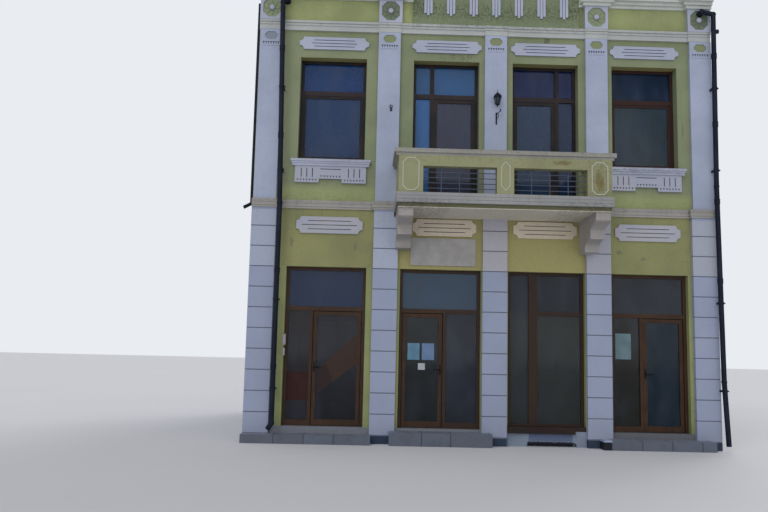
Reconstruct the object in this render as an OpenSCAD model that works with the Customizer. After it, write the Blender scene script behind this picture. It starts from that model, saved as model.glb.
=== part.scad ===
// Two-storey town house with four shop bays, a stucco front and a balcony.
// The front faces -Y. The origin is on the ground in the middle of the plan.

/* [Plan] */
// First bay, from the centre of pilaster 1 to the centre of pilaster 2
bay_1 = 2290; // [2250:10:2600]
// Second bay, pilaster 2 to pilaster 3
bay_2 = 2050; // [2050:10:2400]
// Third bay, pilaster 3 to pilaster 4
bay_3 = 1950; // [1950:10:2300]
// Fourth bay, pilaster 4 to pilaster 5
bay_4 = 2010; // [2000:10:2400]
// Depth of the house, front plaster to back plaster
house_depth = 7600; // [6600:100:11000]
// Thickness of the front wall
front_wall_t = 400; // [360:10:500]
// Thickness of the back wall
back_wall_t = 380; // [300:10:450]
// Thickness of the two party walls
party_wall_t = 300; // [240:10:400]

/* [Levels] */
// Ground floor above the pavement, which is also every door threshold
floor_z = 280; // [260:5:340]
// Head of the shop openings
shop_head_z = 3210; // [3150:10:3230]
// Upper floor above the pavement
upper_floor_z = 4460; // [4440:10:4600]
// Thickness of the upper floor
floor_t = 250; // [200:10:280]
// Bottom of the two upper windows
window_foot_z = 5246; // [5200:2:5300]
// Head of the upper windows and balcony doors
window_head_z = 7262; // [7200:2:7300]
// Underside of the string cornice below the frieze
string_z = 7785; // [7760:5:7900]
// Height of the frieze between the two cornices
frieze_h = 455; // [380:5:500]
// Height of the low parapet over the outer bays
parapet_h = 230; // [200:10:400]
// Height of the raised attic over the middle bays, above the top cornice
attic_h = 790; // [600:10:1100]
// Width of the raised attic
attic_w = 3240; // [2900:10:3400]
// Underside of the ceiling below the roof
ceiling_z = 7560; // [7500:10:7700]
// Thickness of the ceiling
ceiling_t = 180; // [140:10:220]

/* [Pilasters] */
// Width of a pilaster in the shop storey
pilaster_w = 460; // [420:5:480]
// Width of a pilaster above the belt course
pilaster_upper_w = 424; // [380:4:440]
// How far the shop storey pilasters stand out from the plaster
pilaster_out = 90; // [70:5:120]
// How far the upper pilasters stand out
pilaster_upper_out = 70; // [50:5:70]
// Height of the grey foot of a pilaster
plinth_h = 150; // [100:5:170]
// Height of one course between two sunk joints
course_h = 380; // [340:2:410]
// Width and depth of a sunk joint
joint_w = 16; // [8:1:30]
// Medallion on a capital, across
medallion_w = 240; // [160:10:260]
// Medallion on a capital, high
medallion_h = 155; // [100:5:170]

/* [Openings] */
// Width of the shop opening in bay 1
shop_w_1 = 1490; // [1300:10:1560]
// Width of the shop opening in bay 2
shop_w_2 = 1520; // [1300:10:1530]
// Width of the shop window in bay 3
shop_w_3 = 1450; // [1300:10:1460]
// Width of the shop opening in bay 4
shop_w_4 = 1450; // [1300:10:1480]
// Width of the four upper openings
window_w = 1270; // [1100:10:1300]
// Sideways place of each upper opening from the middle of its bay
window_shift = [71, 80, -5, -62]; // [-90:1:90]
// Sideways place of each shop opening from the middle of its bay
shop_shift = [50, 20, 10, -20]; // [-60:1:60]

/* [Joinery] */
// Reveal in front of the shop frames
shop_reveal = 120; // [80:5:160]
// Reveal in front of the upper frames
window_reveal = 200; // [120:5:240]
// Width of the outer frame members
frame_w = 60; // [45:1:80]
// Depth of the frames
frame_d = 80; // [60:2:100]
// Underside of the shop transom bar
transom_z = 2395; // [2300:5:2500]
// Height of the shop transom bar
transom_h = 78; // [60:2:100]
// Middle of the crossbar in the upper openings
crossbar_z = 6610; // [6400:5:6700]
// Height of that crossbar
crossbar_h = 90; // [60:5:140]
// Width of the stiles and top rail of a door leaf
stile_w = 70; // [55:1:90]
// Height of the bottom rail of a door leaf
bottom_rail_h = 110; // [80:5:160]
// Thickness of a door leaf
leaf_t = 60; // [45:1:70]
// Free gap round a door leaf
leaf_gap = 10; // [10:1:12]
// Thickness of the glass
glass_t = 12; // [8:1:24]
// Height of the door handles above the threshold
handle_h = 1070; // [950:10:1150]

/* [Balcony] */
// Width of the balcony slab
balcony_w = 3810; // [3700:10:3900]
// How far the balcony parapet stands out from the plaster
balcony_out = 1200; // [900:10:1300]
// Thickness of the balcony slab
balcony_t = 260; // [200:5:300]
// Top of the parapet coping above the balcony floor
coping_top = 780; // [740:10:1000]
// Thickness of the coping
coping_t = 120; // [80:5:140]
// Height of the beam under the coping
beam_h = 185; // [140:5:220]
// Width of the two corner posts
end_post_w = 430; // [360:5:460]
// Width of the middle post
mid_post_w = 300; // [240:5:360]
// Thickness of the parapet
parapet_t = 180; // [140:5:220]
// Diameter of the rods in the parapet openings
rod_d = 16; // [12:1:24]
// Width of a corbel
corbel_w = 262; // [220:2:300]
// Height of a corbel
corbel_h = 620; // [560:10:700]
// Set-back of a corbel's front from the front of the slab
corbel_set = 80; // [60:5:200]

/* [Steps] */
// How far the door steps stand out from the plaster
step_out = 350; // [300:10:500]
// Height of the step in bay 1
step_h_1 = 155; // [120:5:240]
// Height of the step in bay 2
step_h_2 = 235; // [120:5:250]
// Height of the step in bay 4
step_h_4 = 175; // [120:5:240]

/* [Roof] */
// Pitch of the roof in degrees
roof_pitch = 23; // [15:1:35]
// Thickness of the roof, square to the slope
roof_t = 170; // [120:10:240]
// Reach of the eaves past the back wall
eaves_out = 350; // [200:10:600]

/* [Pipes] */
// Diameter of the rainwater pipes
pipe_d = 92; // [70:2:100]

/* [Hidden] */

white = "#e9e9f2";
green = "#a9b173";
brown = "#4b2c20";

// plan
bays = [bay_1, bay_2, bay_3, bay_4];
run_w = bay_1 + bay_2 + bay_3 + bay_4;
house_w = run_w + pilaster_w;
pil_x = [
  -run_w / 2, -run_w / 2 + bay_1, -run_w / 2 + bay_1 + bay_2,
  run_w / 2 - bay_4, run_w / 2
];
bay_x = [for (i = [0:3]) (pil_x[i] + pil_x[i + 1]) / 2];
shop_ws = [shop_w_1, shop_w_2, shop_w_3, shop_w_4];
shop_x = [for (i = [0:3]) bay_x[i] + shop_shift[i]];
win_x = [for (i = [0:3]) bay_x[i] + window_shift[i]];
front_y = -house_depth / 2;
back_y = house_depth / 2;
inner_front_y = front_y + front_wall_t;
inner_back_y = back_y - back_wall_t;
room_w = house_w - 2 * party_wall_t;

// levels above the upper floor
belt_h = 160;
belt_z = upper_floor_z - belt_h;
string_h = 190;
frieze_z = string_z + string_h;
top_cornice_z = frieze_z + frieze_h;
top_cornice_h = 250;
parapet_z = top_cornice_z + top_cornice_h;
attic_left = pil_x[2] - attic_w / 2;
attic_right = pil_x[2] + attic_w / 2;

// roof
plate_z = top_cornice_z - 85;
roof_rise = (house_depth / 2 - front_wall_t) * tan(roof_pitch);
ridge_z = plate_z + roof_rise;
roof_v = roof_t / cos(roof_pitch);

// the walls stop a hair below the roof slab
roof_bed = 0.5;

function under_roof(y) = ridge_z - abs(y) * tan(roof_pitch);
function wall_top(y) = under_roof(y) - roof_bed;

// height of the rows below row k in a stack of [height, reach] rows
function below(rows, k) = k == 0 ? 0 : rows[k - 1][0] + below(rows, k - 1);

// a box from one corner to the other
module span(a, b) { translate(a) cube(b - a); }

// a slab of the front wall between two levels
module front_slab(x0, x1, z0, z1, y0 = front_y, y1 = inner_front_y) {
  span([x0, y0, z0], [x1, y1, z1]);
}

// Structure

vent_w = 910;
vent_h = 65;
vent_shift = 90;

module foundation_slab() {
  color("#c9c7c2") difference() {
    span([-house_w / 2, front_y, 0], [house_w / 2, back_y, floor_z]);
    // cellar vent at the foot of the fixed shop window
    x = shop_x[2] + vent_shift;
    span([x - vent_w / 2, front_y - 1, -1], [x + vent_w / 2, front_y + 120, vent_h]);
  }
}

function pier_left(i) = i == 0 ? -house_w / 2 : shop_x[i - 1] + shop_ws[i - 1] / 2;
function pier_right(i) = i == 4 ? house_w / 2 : shop_x[i] - shop_ws[i] / 2;

module front_piers() {
  color(green) for (i = [0:4]) front_slab(pier_left(i), pier_right(i), floor_z, shop_head_z);
}

module spandrel_wall() {
  color(green) front_slab(-house_w / 2, house_w / 2, shop_head_z, upper_floor_z);
}

module upper_front_wall() {
  color(green) difference() {
    front_slab(-house_w / 2, house_w / 2, upper_floor_z, window_head_z);
    for (i = [0:3]) {
      foot = i == 0 || i == 3 ? window_foot_z : upper_floor_z - 1;
      front_slab(win_x[i] - window_w / 2, win_x[i] + window_w / 2, foot, window_head_z + 1,
        front_y - 1, inner_front_y + 1);
    }
  }
}

module frieze_wall() {
  color(green) front_slab(-house_w / 2, house_w / 2, window_head_z, parapet_z);
}

// side wall with a top that follows the roof
module party_wall(x0) {
  translate([x0, 0, 0]) rotate([90, 0, 90]) linear_extrude(party_wall_t) polygon([
    [inner_front_y, floor_z], [inner_back_y, floor_z], [inner_back_y, wall_top(inner_back_y)],
    [0, wall_top(0)], [inner_front_y, wall_top(inner_front_y)]
  ]);
}

module left_party_wall() { color("#d9d8dc") party_wall(-house_w / 2); }
module right_party_wall() { color("#d9d8dc") party_wall(house_w / 2 - party_wall_t); }

// openings of the plain back wall
back_win_w = 1200;
back_foot_z = floor_z + 900;
back_head_z = floor_z + 2250;
back_upper_head_z = window_head_z - 300;
back_door_w = 1000;

module back_holes(foot, head, door = false) {
  for (i = [0:3]) {
    w = door && i == 1 ? back_door_w : back_win_w;
    z0 = door && i == 1 ? floor_z - 1 : foot;
    span([bay_x[i] - w / 2, inner_back_y - 1, z0], [bay_x[i] + w / 2, back_y + 1, head]);
  }
}

module back_wall_ground() {
  color("#d9d8dc") difference() {
    span([-house_w / 2, inner_back_y, floor_z], [house_w / 2, back_y, upper_floor_z]);
    back_holes(back_foot_z, back_head_z, true);
  }
}

module back_wall_upper() {
  color("#d9d8dc") difference() {
    translate([-house_w / 2, 0, 0]) rotate([90, 0, 90]) linear_extrude(house_w) polygon([
      [inner_back_y, upper_floor_z], [back_y, upper_floor_z], [back_y, wall_top(back_y)],
      [inner_back_y, wall_top(inner_back_y)]
    ]);
    back_holes(window_foot_z, back_upper_head_z);
  }
}

module upper_floor() {
  color("#b9a98c") span([-room_w / 2, inner_front_y, upper_floor_z - floor_t],
    [room_w / 2, inner_back_y, upper_floor_z]);
}

module ceiling() {
  color("#e6e4df") span([-room_w / 2, inner_front_y, ceiling_z],
    [room_w / 2, inner_back_y, ceiling_z + ceiling_t]);
}

eave_y = back_y + eaves_out;
// the rolls of the tiles
tile_pitch = 219;
roll_w = 110;
roll_h = 20;
ridge_cap_r = 100;
ridge_cap_rise = 15;

// section of a layer of the roof between two heights above its underside
function roof_layer(low, high) = concat(
  [for (y = [inner_front_y, 0, eave_y]) [y, under_roof(y) + low]],
  [for (y = [eave_y, 0, inner_front_y]) [y, under_roof(y) + high]]
);

module along_x(x, l) { translate([x, 0, 0]) rotate([90, 0, 90]) linear_extrude(l) children(); }

module roof() {
  cap_z = ridge_z + roof_v + ridge_cap_rise - ridge_cap_r;
  color("#9a4a34") {
    along_x(-house_w / 2, house_w) polygon(roof_layer(0, roof_v - roll_h));
    for (k = [0:floor(house_w / tile_pitch) - 1])
      along_x(-house_w / 2 + (k + 0.5) * tile_pitch - roll_w / 2, roll_w)
        polygon(roof_layer(roof_v - roll_h - 1, roof_v));
    along_x(-house_w / 2, house_w) intersection() {
      translate([0, cap_z]) circle(r = ridge_cap_r, $fn = 24);
      translate([-ridge_cap_r, cap_z]) square([2 * ridge_cap_r, ridge_cap_r]);
    }
  }
}

// Front ornament

// an octagon with corners cut at 45 degrees, in the XZ plane, facing -Y
module octagon(w, h, depth, cut) {
  rotate([90, 0, 0]) linear_extrude(depth) polygon([
    [-w / 2 + cut, -h / 2], [w / 2 - cut, -h / 2], [w / 2, -h / 2 + cut], [w / 2, h / 2 - cut],
    [w / 2 - cut, h / 2], [-w / 2 + cut, h / 2], [-w / 2, h / 2 - cut], [-w / 2, -h / 2 + cut]
  ]);
}

// a row of small sunk drips along X, centred
module drips(n, pitch, w, h, depth) {
  for (k = [0:n - 1]) translate([(k - (n - 1) / 2) * pitch, 0, 0])
    rotate([90, 0, 0]) linear_extrude(depth) polygon([[-w / 2, h / 2], [w / 2, h / 2], [0, -h / 2]]);
}

carve = 14;
medallion_z = string_z - 50 - medallion_h / 2;
drip_n = 7;
drip_pitch = 47;
drip_w = 34;
drip_h = 56;
drip_z = medallion_z - medallion_h / 2 - 72;
course_count = floor((belt_z - plinth_h - 100) / course_h);
// sideways place of each upper pilaster from its centre line
upper_shift = [0, -8, 0, 0, 18];
upper_x = pil_x + upper_shift;

module pilaster(i) {
  x = pil_x[i];
  half = pilaster_w / 2;
  upper = pilaster_upper_w / 2;
  face = front_y - pilaster_out;
  foot = i == 2 ? deck_z : belt_z + belt_h;
  difference() {
    span([x - half, face, 0], [x + half, front_y, belt_z]);
    for (k = [0:course_count])
      translate([x, face, plinth_h + k * course_h]) rotate([45, 0, 0])
        cube([pilaster_w + 2, joint_w, joint_w], center = true);
    // room for the balcony slab
    span([balcony_x - balcony_w / 2, face - 1, slab_z], [balcony_x + balcony_w / 2, front_y + 1, deck_z]);
  }
  difference() {
    span([upper_x[i] - upper, front_y - pilaster_upper_out, foot], [upper_x[i] + upper, front_y, string_z]);
    translate([upper_x[i], front_y - pilaster_upper_out + carve, medallion_z])
      octagon(medallion_w, medallion_h, carve + 1, medallion_h * 0.34);
    translate([upper_x[i], front_y - pilaster_upper_out + carve, drip_z])
      drips(drip_n, drip_pitch, drip_w, drip_h, carve + 1);
    // thin line below the drips
    translate([upper_x[i], front_y - pilaster_upper_out, drip_z - drip_h])
      cube([drip_n * drip_pitch, carve, carve * 0.7], center = true);
  }
}

module pilasters() { color(white) for (i = [0:4]) pilaster(i); }

// one fillet of a moulding: level, height and reach
// soft: the share of the reach by which it breaks forward round a pilaster
module fillet(z, h, out, x0, x1, half, extra, soft) {
  forward = extra + soft * out;
  side = half + soft * out;
  translate([0, 0, z]) linear_extrude(h) union() {
    translate([x0, front_y - out]) square([x1 - x0, out]);
    for (p = pil_x) if (p + half > x0 && p - half < x1)
      translate([max(x0, p - side), front_y - forward])
        square([min(x1, p + side) - max(x0, p - side), forward]);
  }
}

// a moulding as a stack of fillets, each given as [height, reach]
module moulding(z, rows, x0, x1, half, extra, soft = 1, k = 0) {
  if (k < len(rows)) {
    fillet(z, rows[k][0], rows[k][1], x0, x1, half, extra, soft);
    moulding(z + rows[k][0], rows, x0, x1, half, extra, soft, k + 1);
  }
}

belt_rows = [[40, 28], [60, 42], [20, 52], [40, 38]];
string_rows = [[33, 52], [62, 46], [38, 62], [12, 58], [45, 80]];
cornice_rows = [[55, 45], [55, 100], [65, 170], [45, 210], [30, 160]];

module belt_course() {
  half = pilaster_w / 2;
  color(white) {
    moulding(belt_z, belt_rows, -house_w / 2, balcony_x - balcony_w / 2, half, pilaster_out);
    moulding(belt_z, belt_rows, balcony_x + balcony_w / 2, house_w / 2, half, pilaster_out);
  }
}

module string_cornice() {
  color(white) moulding(string_z, string_rows, -house_w / 2, house_w / 2, pilaster_upper_w / 2,
    pilaster_upper_out, 0.12);
}

rosette_w = 345;
rosette_h = 385;
rosette_deep = 30;
rosette_z = frieze_z + frieze_h / 2 + 8;
block_w = 450;
block_out = 100;

module rosette_blocks() {
  color(white) for (i = [0, 1, 3, 4]) translate([pil_x[i], front_y, frieze_z + frieze_h / 2]) {
    difference() {
      translate([max(-block_w / 2, -house_w / 2 - pil_x[i]), -block_out, -frieze_h / 2])
        cube([min(block_w, block_w / 2 + house_w / 2 - abs(pil_x[i])), block_out, frieze_h]);
      translate([0, rosette_deep - block_out, rosette_z - frieze_z - frieze_h / 2])
        octagon(rosette_w, rosette_h, rosette_deep + 1, rosette_w * 0.29);
    }
    translate([0, rosette_deep - block_out, rosette_z - frieze_z - frieze_h / 2]) rotate([90, 0, 0])
      cylinder(h = rosette_deep + 4, d = 96, $fn = 32);
  }
}

module cornice_run(x0, x1) {
  moulding(top_cornice_z, cornice_rows, x0, x1, block_w / 2, block_out);
}

module top_cornice() {
  cap_rows = [[50, 40], [60, 90], [40, 130]];
  color(white) {
    cornice_run(-house_w / 2, attic_left);
    cornice_run(attic_right, house_w / 2);
    for (k = [0:len(cap_rows) - 1]) {
      z = parapet_z + attic_h + below(cap_rows, k);
      reach = cap_rows[k][1];
      span([attic_left - reach, front_y - attic_out - reach, z],
        [attic_right + reach, inner_front_y + 40, z + cap_rows[k][0]]);
    }
  }
}

attic_out = 45;
attic_foot_gap = 20; // least gap between the attic's foot and a rosette block

module attic_wall() {
  color(green) {
    for (s = [[-house_w / 2, attic_left], [attic_right, house_w / 2]])
      front_slab(s[0], s[1], parapet_z, parapet_z + parapet_h);
    front_slab(attic_left, attic_right, parapet_z, parapet_z + attic_h);
    // the panel's foot stands in the frieze between the inner rosette blocks
    foot_left = max(attic_left, pil_x[1] + block_w / 2 + attic_foot_gap);
    foot_right = min(attic_right, pil_x[3] - block_w / 2 - attic_foot_gap);
    front_slab(foot_left, foot_right, frieze_z, top_cornice_z, front_y - attic_out, front_y);
    front_slab(attic_left, attic_right, top_cornice_z, parapet_z + attic_h, front_y - attic_out, front_y);
  }
}

pendant_n = 7;
pendant_pitch = 441;
pendant_w = 170;
pendant_foot = frieze_z + 185;
pendant_top = parapet_z + attic_h - 160;

// three thin bars side by side, the middle one longest
module pendant(x) {
  bar = pendant_w / 3 * 0.82;
  for (k = [-1:1]) translate([x + k * pendant_w / 3, front_y - attic_out, 0])
    span([-bar / 2, -26, pendant_foot + abs(k) * 40], [bar / 2, 0, pendant_top - abs(k) * 40]);
}

module attic_pendants() {
  color(white) for (k = [0:pendant_n - 1]) pendant(pil_x[2] + (k - (pendant_n - 1) / 2) * pendant_pitch);
}

plaque_t = 30;
plaque_upper_w = 1340;
plaque_upper_h = 245;
plaque_upper_z = (window_head_z + string_z) / 2 + 19;
plaque_lower_w = 1245;
plaque_lower_h = 315;
plaque_lower_z = belt_z - 147 - plaque_lower_h / 2;
plaque_hollow = 80;
groove_h = 14;
groove_deep = 15;

// a plate with hollowed corners and three grooves, the middle one longest
// reach: the lengths of the outer grooves and of the middle one, as shares of the width
module plaque(x, z, w, h, reach) {
  translate([x, front_y, z]) difference() {
    rotate([90, 0, 0]) linear_extrude(plaque_t) difference() {
      square([w, h], center = true);
      for (sx = [-1, 1]) for (sz = [-1, 1])
        translate([sx * w / 2, sz * h / 2]) circle(r = plaque_hollow, $fn = 24);
    }
    for (k = [-1:1]) {
      len = w * (k == 0 ? reach[1] : reach[0]);
      translate([-len / 2, -plaque_t - 1, k * h * 0.25 - groove_h / 2])
        cube([len, groove_deep + 1, groove_h]);
    }
  }
}

// free width between a corbel and the middle pilaster
corbel_side = 41;
corbel_inner = balcony_w / 2 - corbel_side - corbel_w;
corbel_free = corbel_inner - pilaster_w / 2;
// clearances beside a corbel, and widths as shares of the free width
plaque_clear = 50;
plaque_share = 0.875;
sign_clear = 20;
sign_share = 0.889;

module plaques() {
  lower = [0.65, 0.83];
  mid_w = plaque_share * corbel_free;
  color(white) {
    for (i = [0:3]) plaque(win_x[i], plaque_upper_z, plaque_upper_w, plaque_upper_h, [0.58, 0.65]);
    for (i = [0, 3]) plaque(win_x[i] + 12, plaque_lower_z, plaque_lower_w, plaque_lower_h, lower);
    for (s = [-1, 1])
      plaque(balcony_x + s * (corbel_inner - plaque_clear - mid_w / 2), plaque_lower_z, mid_w,
        plaque_lower_h, lower);
  }
}

sign_h = 515;
sign_t = 40;
sign_gap = 43;

module sign_board() {
  top = plaque_lower_z - plaque_lower_h / 2 - sign_gap;
  x0 = balcony_x - corbel_inner + sign_clear;
  color("#c9c6cf") span([x0, front_y - sign_t, top - sign_h],
    [x0 + sign_share * corbel_free, front_y, top]);
}

sill_out = 100;
sill_h = 125;
sill_w = window_w + 240;

module window_sill(x) {
  rows = [[45, 70], [35, 85], [45, sill_out]];
  for (k = [0:2]) {
    z = window_foot_z - sill_h + below(rows, k);
    reach = rows[k][1];
    span([x - sill_w / 2 + (sill_out - reach), front_y - reach, z],
      [x + sill_w / 2 - (sill_out - reach), front_y, z + rows[k][0]]);
  }
}

module window_sills() {
  color(white) difference() {
    for (i = [0, 3]) window_sill(win_x[i]);
    pilaster_room();
  }
}

apron_w = window_w + 75;
apron_side = 455;
apron_h = 320;
apron_mid_h = 245;
apron_t = 45;

module window_apron(x) {
  top = window_foot_z - sill_h;
  mid_w = apron_w - 2 * apron_side;
  difference() {
    union() {
      for (s = [-1, 1]) translate([x + s * (apron_w - apron_side) / 2 - apron_side / 2,
        front_y - apron_t, top - apron_h])
        cube([apron_side, apron_t, apron_h]);
      translate([x - mid_w / 2, front_y - apron_t, top - apron_mid_h]) cube([mid_w, apron_t, apron_mid_h]);
    }
    // upright flutes on the side parts
    for (s = [-1, 1]) for (k = [-1:1])
      translate([x + s * (apron_w - apron_side) / 2 + k * 105, front_y - apron_t, top - 130])
        cube([18, 2 * carve, 170], center = true);
    // one long groove in the middle
    translate([x, front_y - apron_t, top - 60]) cube([mid_w * 0.9, 2 * carve, 16], center = true);
    // rows of drips
    for (s = [-1, 1]) translate([x + s * (apron_w - apron_side) / 2, front_y - apron_t + carve,
      top - apron_h + 45])
      drips(7, 58, 34, 44, carve + 1);
    translate([x, front_y - apron_t + carve, top - apron_mid_h + 40]) drips(7, 58, 34, 44, carve + 1);
  }
}

module window_aprons() { color(white) for (i = [0, 3]) window_apron(win_x[i]); }

// Balcony

balcony_x = pil_x[2];
deck_z = upper_floor_z - 25;
slab_z = deck_z - balcony_t;
parapet_top = deck_z + coping_top;
beam_z = parapet_top - coping_t - beam_h;

// the slab has a set-back lower strip: [share of the thickness, set-back in front, set-back at the sides]
slab_rows = [[0.31, 50, 30], [0.69, 0, 0]];

module balcony_slab() {
  color(white) for (k = [0:1]) {
    z = slab_z + below(slab_rows, k) * balcony_t;
    side = balcony_w / 2 - slab_rows[k][2];
    span([balcony_x - side, front_y - balcony_out + slab_rows[k][1], z],
      [balcony_x + side, front_y, z + slab_rows[k][0] * balcony_t]);
  }
}

// a thin raised outline of an elongated octagon on the front of a post
module line_panel(x, z, w, h, cut, line) {
  translate([x, front_y - balcony_out + parapet_set, z]) difference() {
    octagon(w, h, 10, cut);
    translate([0, 1, 0]) octagon(w - 2 * line, h - 2 * line, 12, cut - line * 0.58);
  }
}

// the same outline with pointed ends
function lozenge(w, h, tip) = [
  [0, -h / 2], [w / 2, -h / 2 + tip], [w / 2, h / 2 - tip],
  [0, h / 2], [-w / 2, h / 2 - tip], [-w / 2, -h / 2 + tip]
];

module pointed_panel(x, z, w, h, tip, line) {
  apex = line * norm([w / 2, tip]) / (w / 2);
  inner_w = w - 2 * line;
  translate([x, front_y - balcony_out + parapet_set, z]) rotate([90, 0, 0]) linear_extrude(10)
    difference() {
    polygon(lozenge(w, h, tip));
    polygon(lozenge(inner_w, h - 2 * apex, tip * inner_w / w));
  }
}

parapet_set = 25;
parapet_half = balcony_w / 2 - 30;

// the space that the pilasters and the belt course take beside the balcony
module pilaster_room() {
  for (p = upper_x)
    span([p - pilaster_upper_w / 2, front_y - pilaster_upper_out, belt_z],
      [p + pilaster_upper_w / 2, front_y + 1, string_z]);
  for (p = pil_x)
    span([p - pilaster_w / 2, front_y - pilaster_out, 0], [p + pilaster_w / 2, front_y + 1, belt_z]);
}

module balcony_parapet() {
  y0 = front_y - balcony_out + parapet_set;
  top = parapet_top - coping_t;
  post_h = top - deck_z;
  color(green) {
    // corner posts and middle post
    for (s = [-1, 1]) translate([balcony_x + s * (parapet_half - end_post_w / 2) - end_post_w / 2, y0,
      deck_z])
      cube([end_post_w, parapet_t, post_h]);
    span([balcony_x - mid_post_w / 2, y0, deck_z], [balcony_x + mid_post_w / 2, y0 + parapet_t, top]);
    span([balcony_x - parapet_half, y0, beam_z], [balcony_x + parapet_half, y0 + parapet_t, top]);
    // closed sides back to the wall
    difference() {
      for (s = [-1, 1]) translate([balcony_x + s * (parapet_half - parapet_t / 2) - parapet_t / 2, y0,
        deck_z])
        cube([parapet_t, front_y - y0, post_h]);
      pilaster_room();
    }
    for (s = [-1, 1])
      line_panel(balcony_x + s * (parapet_half - end_post_w / 2), deck_z + post_h / 2 - 5, 294,
        post_h - 72, 80, 16);
    pointed_panel(balcony_x, deck_z + post_h / 2 - 5, 165, post_h - 128, 92, 15);
  }
}

module balcony_coping() {
  y0 = front_y - balcony_out - 5;
  x1 = parapet_half + 80;
  color(white) for (k = [0:1]) {
    set = k == 0 ? 35 : 0;
    z0 = parapet_top - coping_t + (k == 0 ? 0 : coping_t * 0.4);
    z1 = k == 0 ? parapet_top - coping_t * 0.6 : parapet_top;
    difference() {
      span([balcony_x - x1 + set, y0 + set, z0], [balcony_x + x1 - set, front_y, z1]);
      pilaster_room();
      span([balcony_x - parapet_half + parapet_t + 40 - set,
        front_y - balcony_out + parapet_set + parapet_t + 40 - set, z0 - 1],
        [balcony_x + parapet_half - parapet_t - 40 + set, front_y + 1, z1 + 1]);
    }
  }
}

module balcony_rods() {
  y = front_y - balcony_out + parapet_set + parapet_t / 2;
  color("#2d2f38") for (s = [-1, 1]) {
    x0 = s < 0 ? balcony_x - parapet_half + end_post_w : balcony_x + mid_post_w / 2;
    x1 = s < 0 ? balcony_x - mid_post_w / 2 : balcony_x + parapet_half - end_post_w;
    gap = beam_z - deck_z;
    for (k = [1:4]) translate([x0, y, deck_z + k * gap / 5]) rotate([0, 90, 0])
      cylinder(h = x1 - x0, d = rod_d, $fn = 16);
    for (k = [1:3]) translate([x0 + k * (x1 - x0) / 4, y, deck_z]) cylinder(h = gap, d = rod_d, $fn = 16);
  }
}

// console in three steps: shares of the reach of its three faces,
// and shares of the height where they begin and end
corbel_out = balcony_out - corbel_set;
corbel_reach = [1, 0.68, 0.36];
corbel_level = [0, 0.22, 0.44, 0.69, 0.86, 1];
corbel_notch = 45;

// side outline: face, double curve, face, notch, hollow, face
corbel_outline = let (
  r = corbel_reach * corbel_out,
  z = -corbel_level * corbel_h,
  in = r[1] - corbel_notch
) concat(
  [[0, 0], [r[0], 0]],
  [for (k = [0:10]) [r[1] + (r[0] - r[1]) * (1 + cos(18 * k)) / 2, z[1] + (z[2] - z[1]) * k / 10]],
  [[r[1], z[3]]],
  [for (k = [0:8]) [in - (in - r[2]) * sin(11.25 * k), z[3] + (z[4] - z[3]) * (1 - cos(11.25 * k))]],
  [[r[2], z[5]], [0, z[5]]]
);

module corbel(x) {
  translate([x - corbel_w / 2, front_y, slab_z]) rotate([90, 0, 90]) mirror([1, 0, 0])
    linear_extrude(corbel_w)
    polygon(corbel_outline);
}

module corbels() {
  // the outer faces stand a little inside the ends of the slab
  color(white) difference() {
    for (s = [-1, 1]) corbel(balcony_x + s * (corbel_inner + corbel_w / 2));
    pilaster_room();
  }
}

// Joinery

// rectangular ring in the XZ plane
module ring(x0, x1, z0, z1, w, y0, y1) {
  difference() {
    span([x0, y0, z0], [x1, y1, z1]);
    span([x0 + w, y0 - 1, z0 + w], [x1 - w, y1 + 1, z1 - w]);
  }
}

win_y0 = front_y + window_reveal;
win_y1 = win_y0 + frame_d;
sash_w = 52;

module upper_frame(x, foot, mullion = 0) {
  x0 = x - window_w / 2;
  x1 = x + window_w / 2;
  ring(x0, x1, foot, window_head_z, frame_w, win_y0, win_y1);
  span([x0 + frame_w - 1, win_y0, crossbar_z - crossbar_h / 2],
    [x1 - frame_w + 1, win_y1, crossbar_z + crossbar_h / 2]);
  if (mullion != 0) span([x + mullion - upper_mullion_half, win_y0, foot + 1],
    [x + mullion + upper_mullion_half, win_y1, window_head_z - 1]);
}

module upper_window_frames() {
  color(brown) {
    for (i = [0, 3]) {
      upper_frame(win_x[i], window_foot_z);
      ring(win_x[i] - window_w / 2 + frame_w - 1, win_x[i] + window_w / 2 - frame_w + 1,
        window_foot_z + frame_w - 1,
        crossbar_z - crossbar_h / 2 + 1, sash_w, win_y0 + 14, win_y1 - 6);
    }
  }
}

// a plain two-light window in the back wall
back_reveal = 120;
back_frame_y = back_y - back_reveal - frame_d;
back_mullion_w = 70;

module back_frame(x, z0, z1) {
  w = back_win_w;
  ring(x - w / 2, x + w / 2, z0, z1, frame_w, back_frame_y, back_frame_y + frame_d);
  span([x - back_mullion_w / 2, back_frame_y, z0 + 1],
    [x + back_mullion_w / 2, back_frame_y + frame_d, z1 - 1]);
}

module back_panes(x, z0, z1) {
  for (s = [-1, 1]) {
    a = x + (s < 0 ? -back_win_w / 2 + frame_w : back_mullion_w / 2);
    pane(a, a + (back_win_w - back_mullion_w) / 2 - frame_w, z0 + frame_w, z1 - frame_w,
      back_frame_y + frame_d / 2);
  }
}

module back_windows() {
  color(brown) {
    for (i = [0:3]) back_frame(bay_x[i], window_foot_z, back_upper_head_z);
    for (i = [0, 2, 3]) back_frame(bay_x[i], back_foot_z, back_head_z);
    // plain back door with four raised panels
    span([bay_x[1] - back_door_w / 2, back_frame_y, floor_z],
      [bay_x[1] + back_door_w / 2, back_frame_y + frame_d, back_head_z]);
    for (s = [-1, 1]) for (z = [floor_z + 160, floor_z + 1120])
      translate([bay_x[1] + s * back_door_w / 4 - 170, back_frame_y + frame_d - 1, z]) cube([340, 16, 860]);
  }
}

// the mullion stands this far from the middle of the opening, towards the outside
balcony_mullion = 262;
upper_mullion_half = 37;

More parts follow.
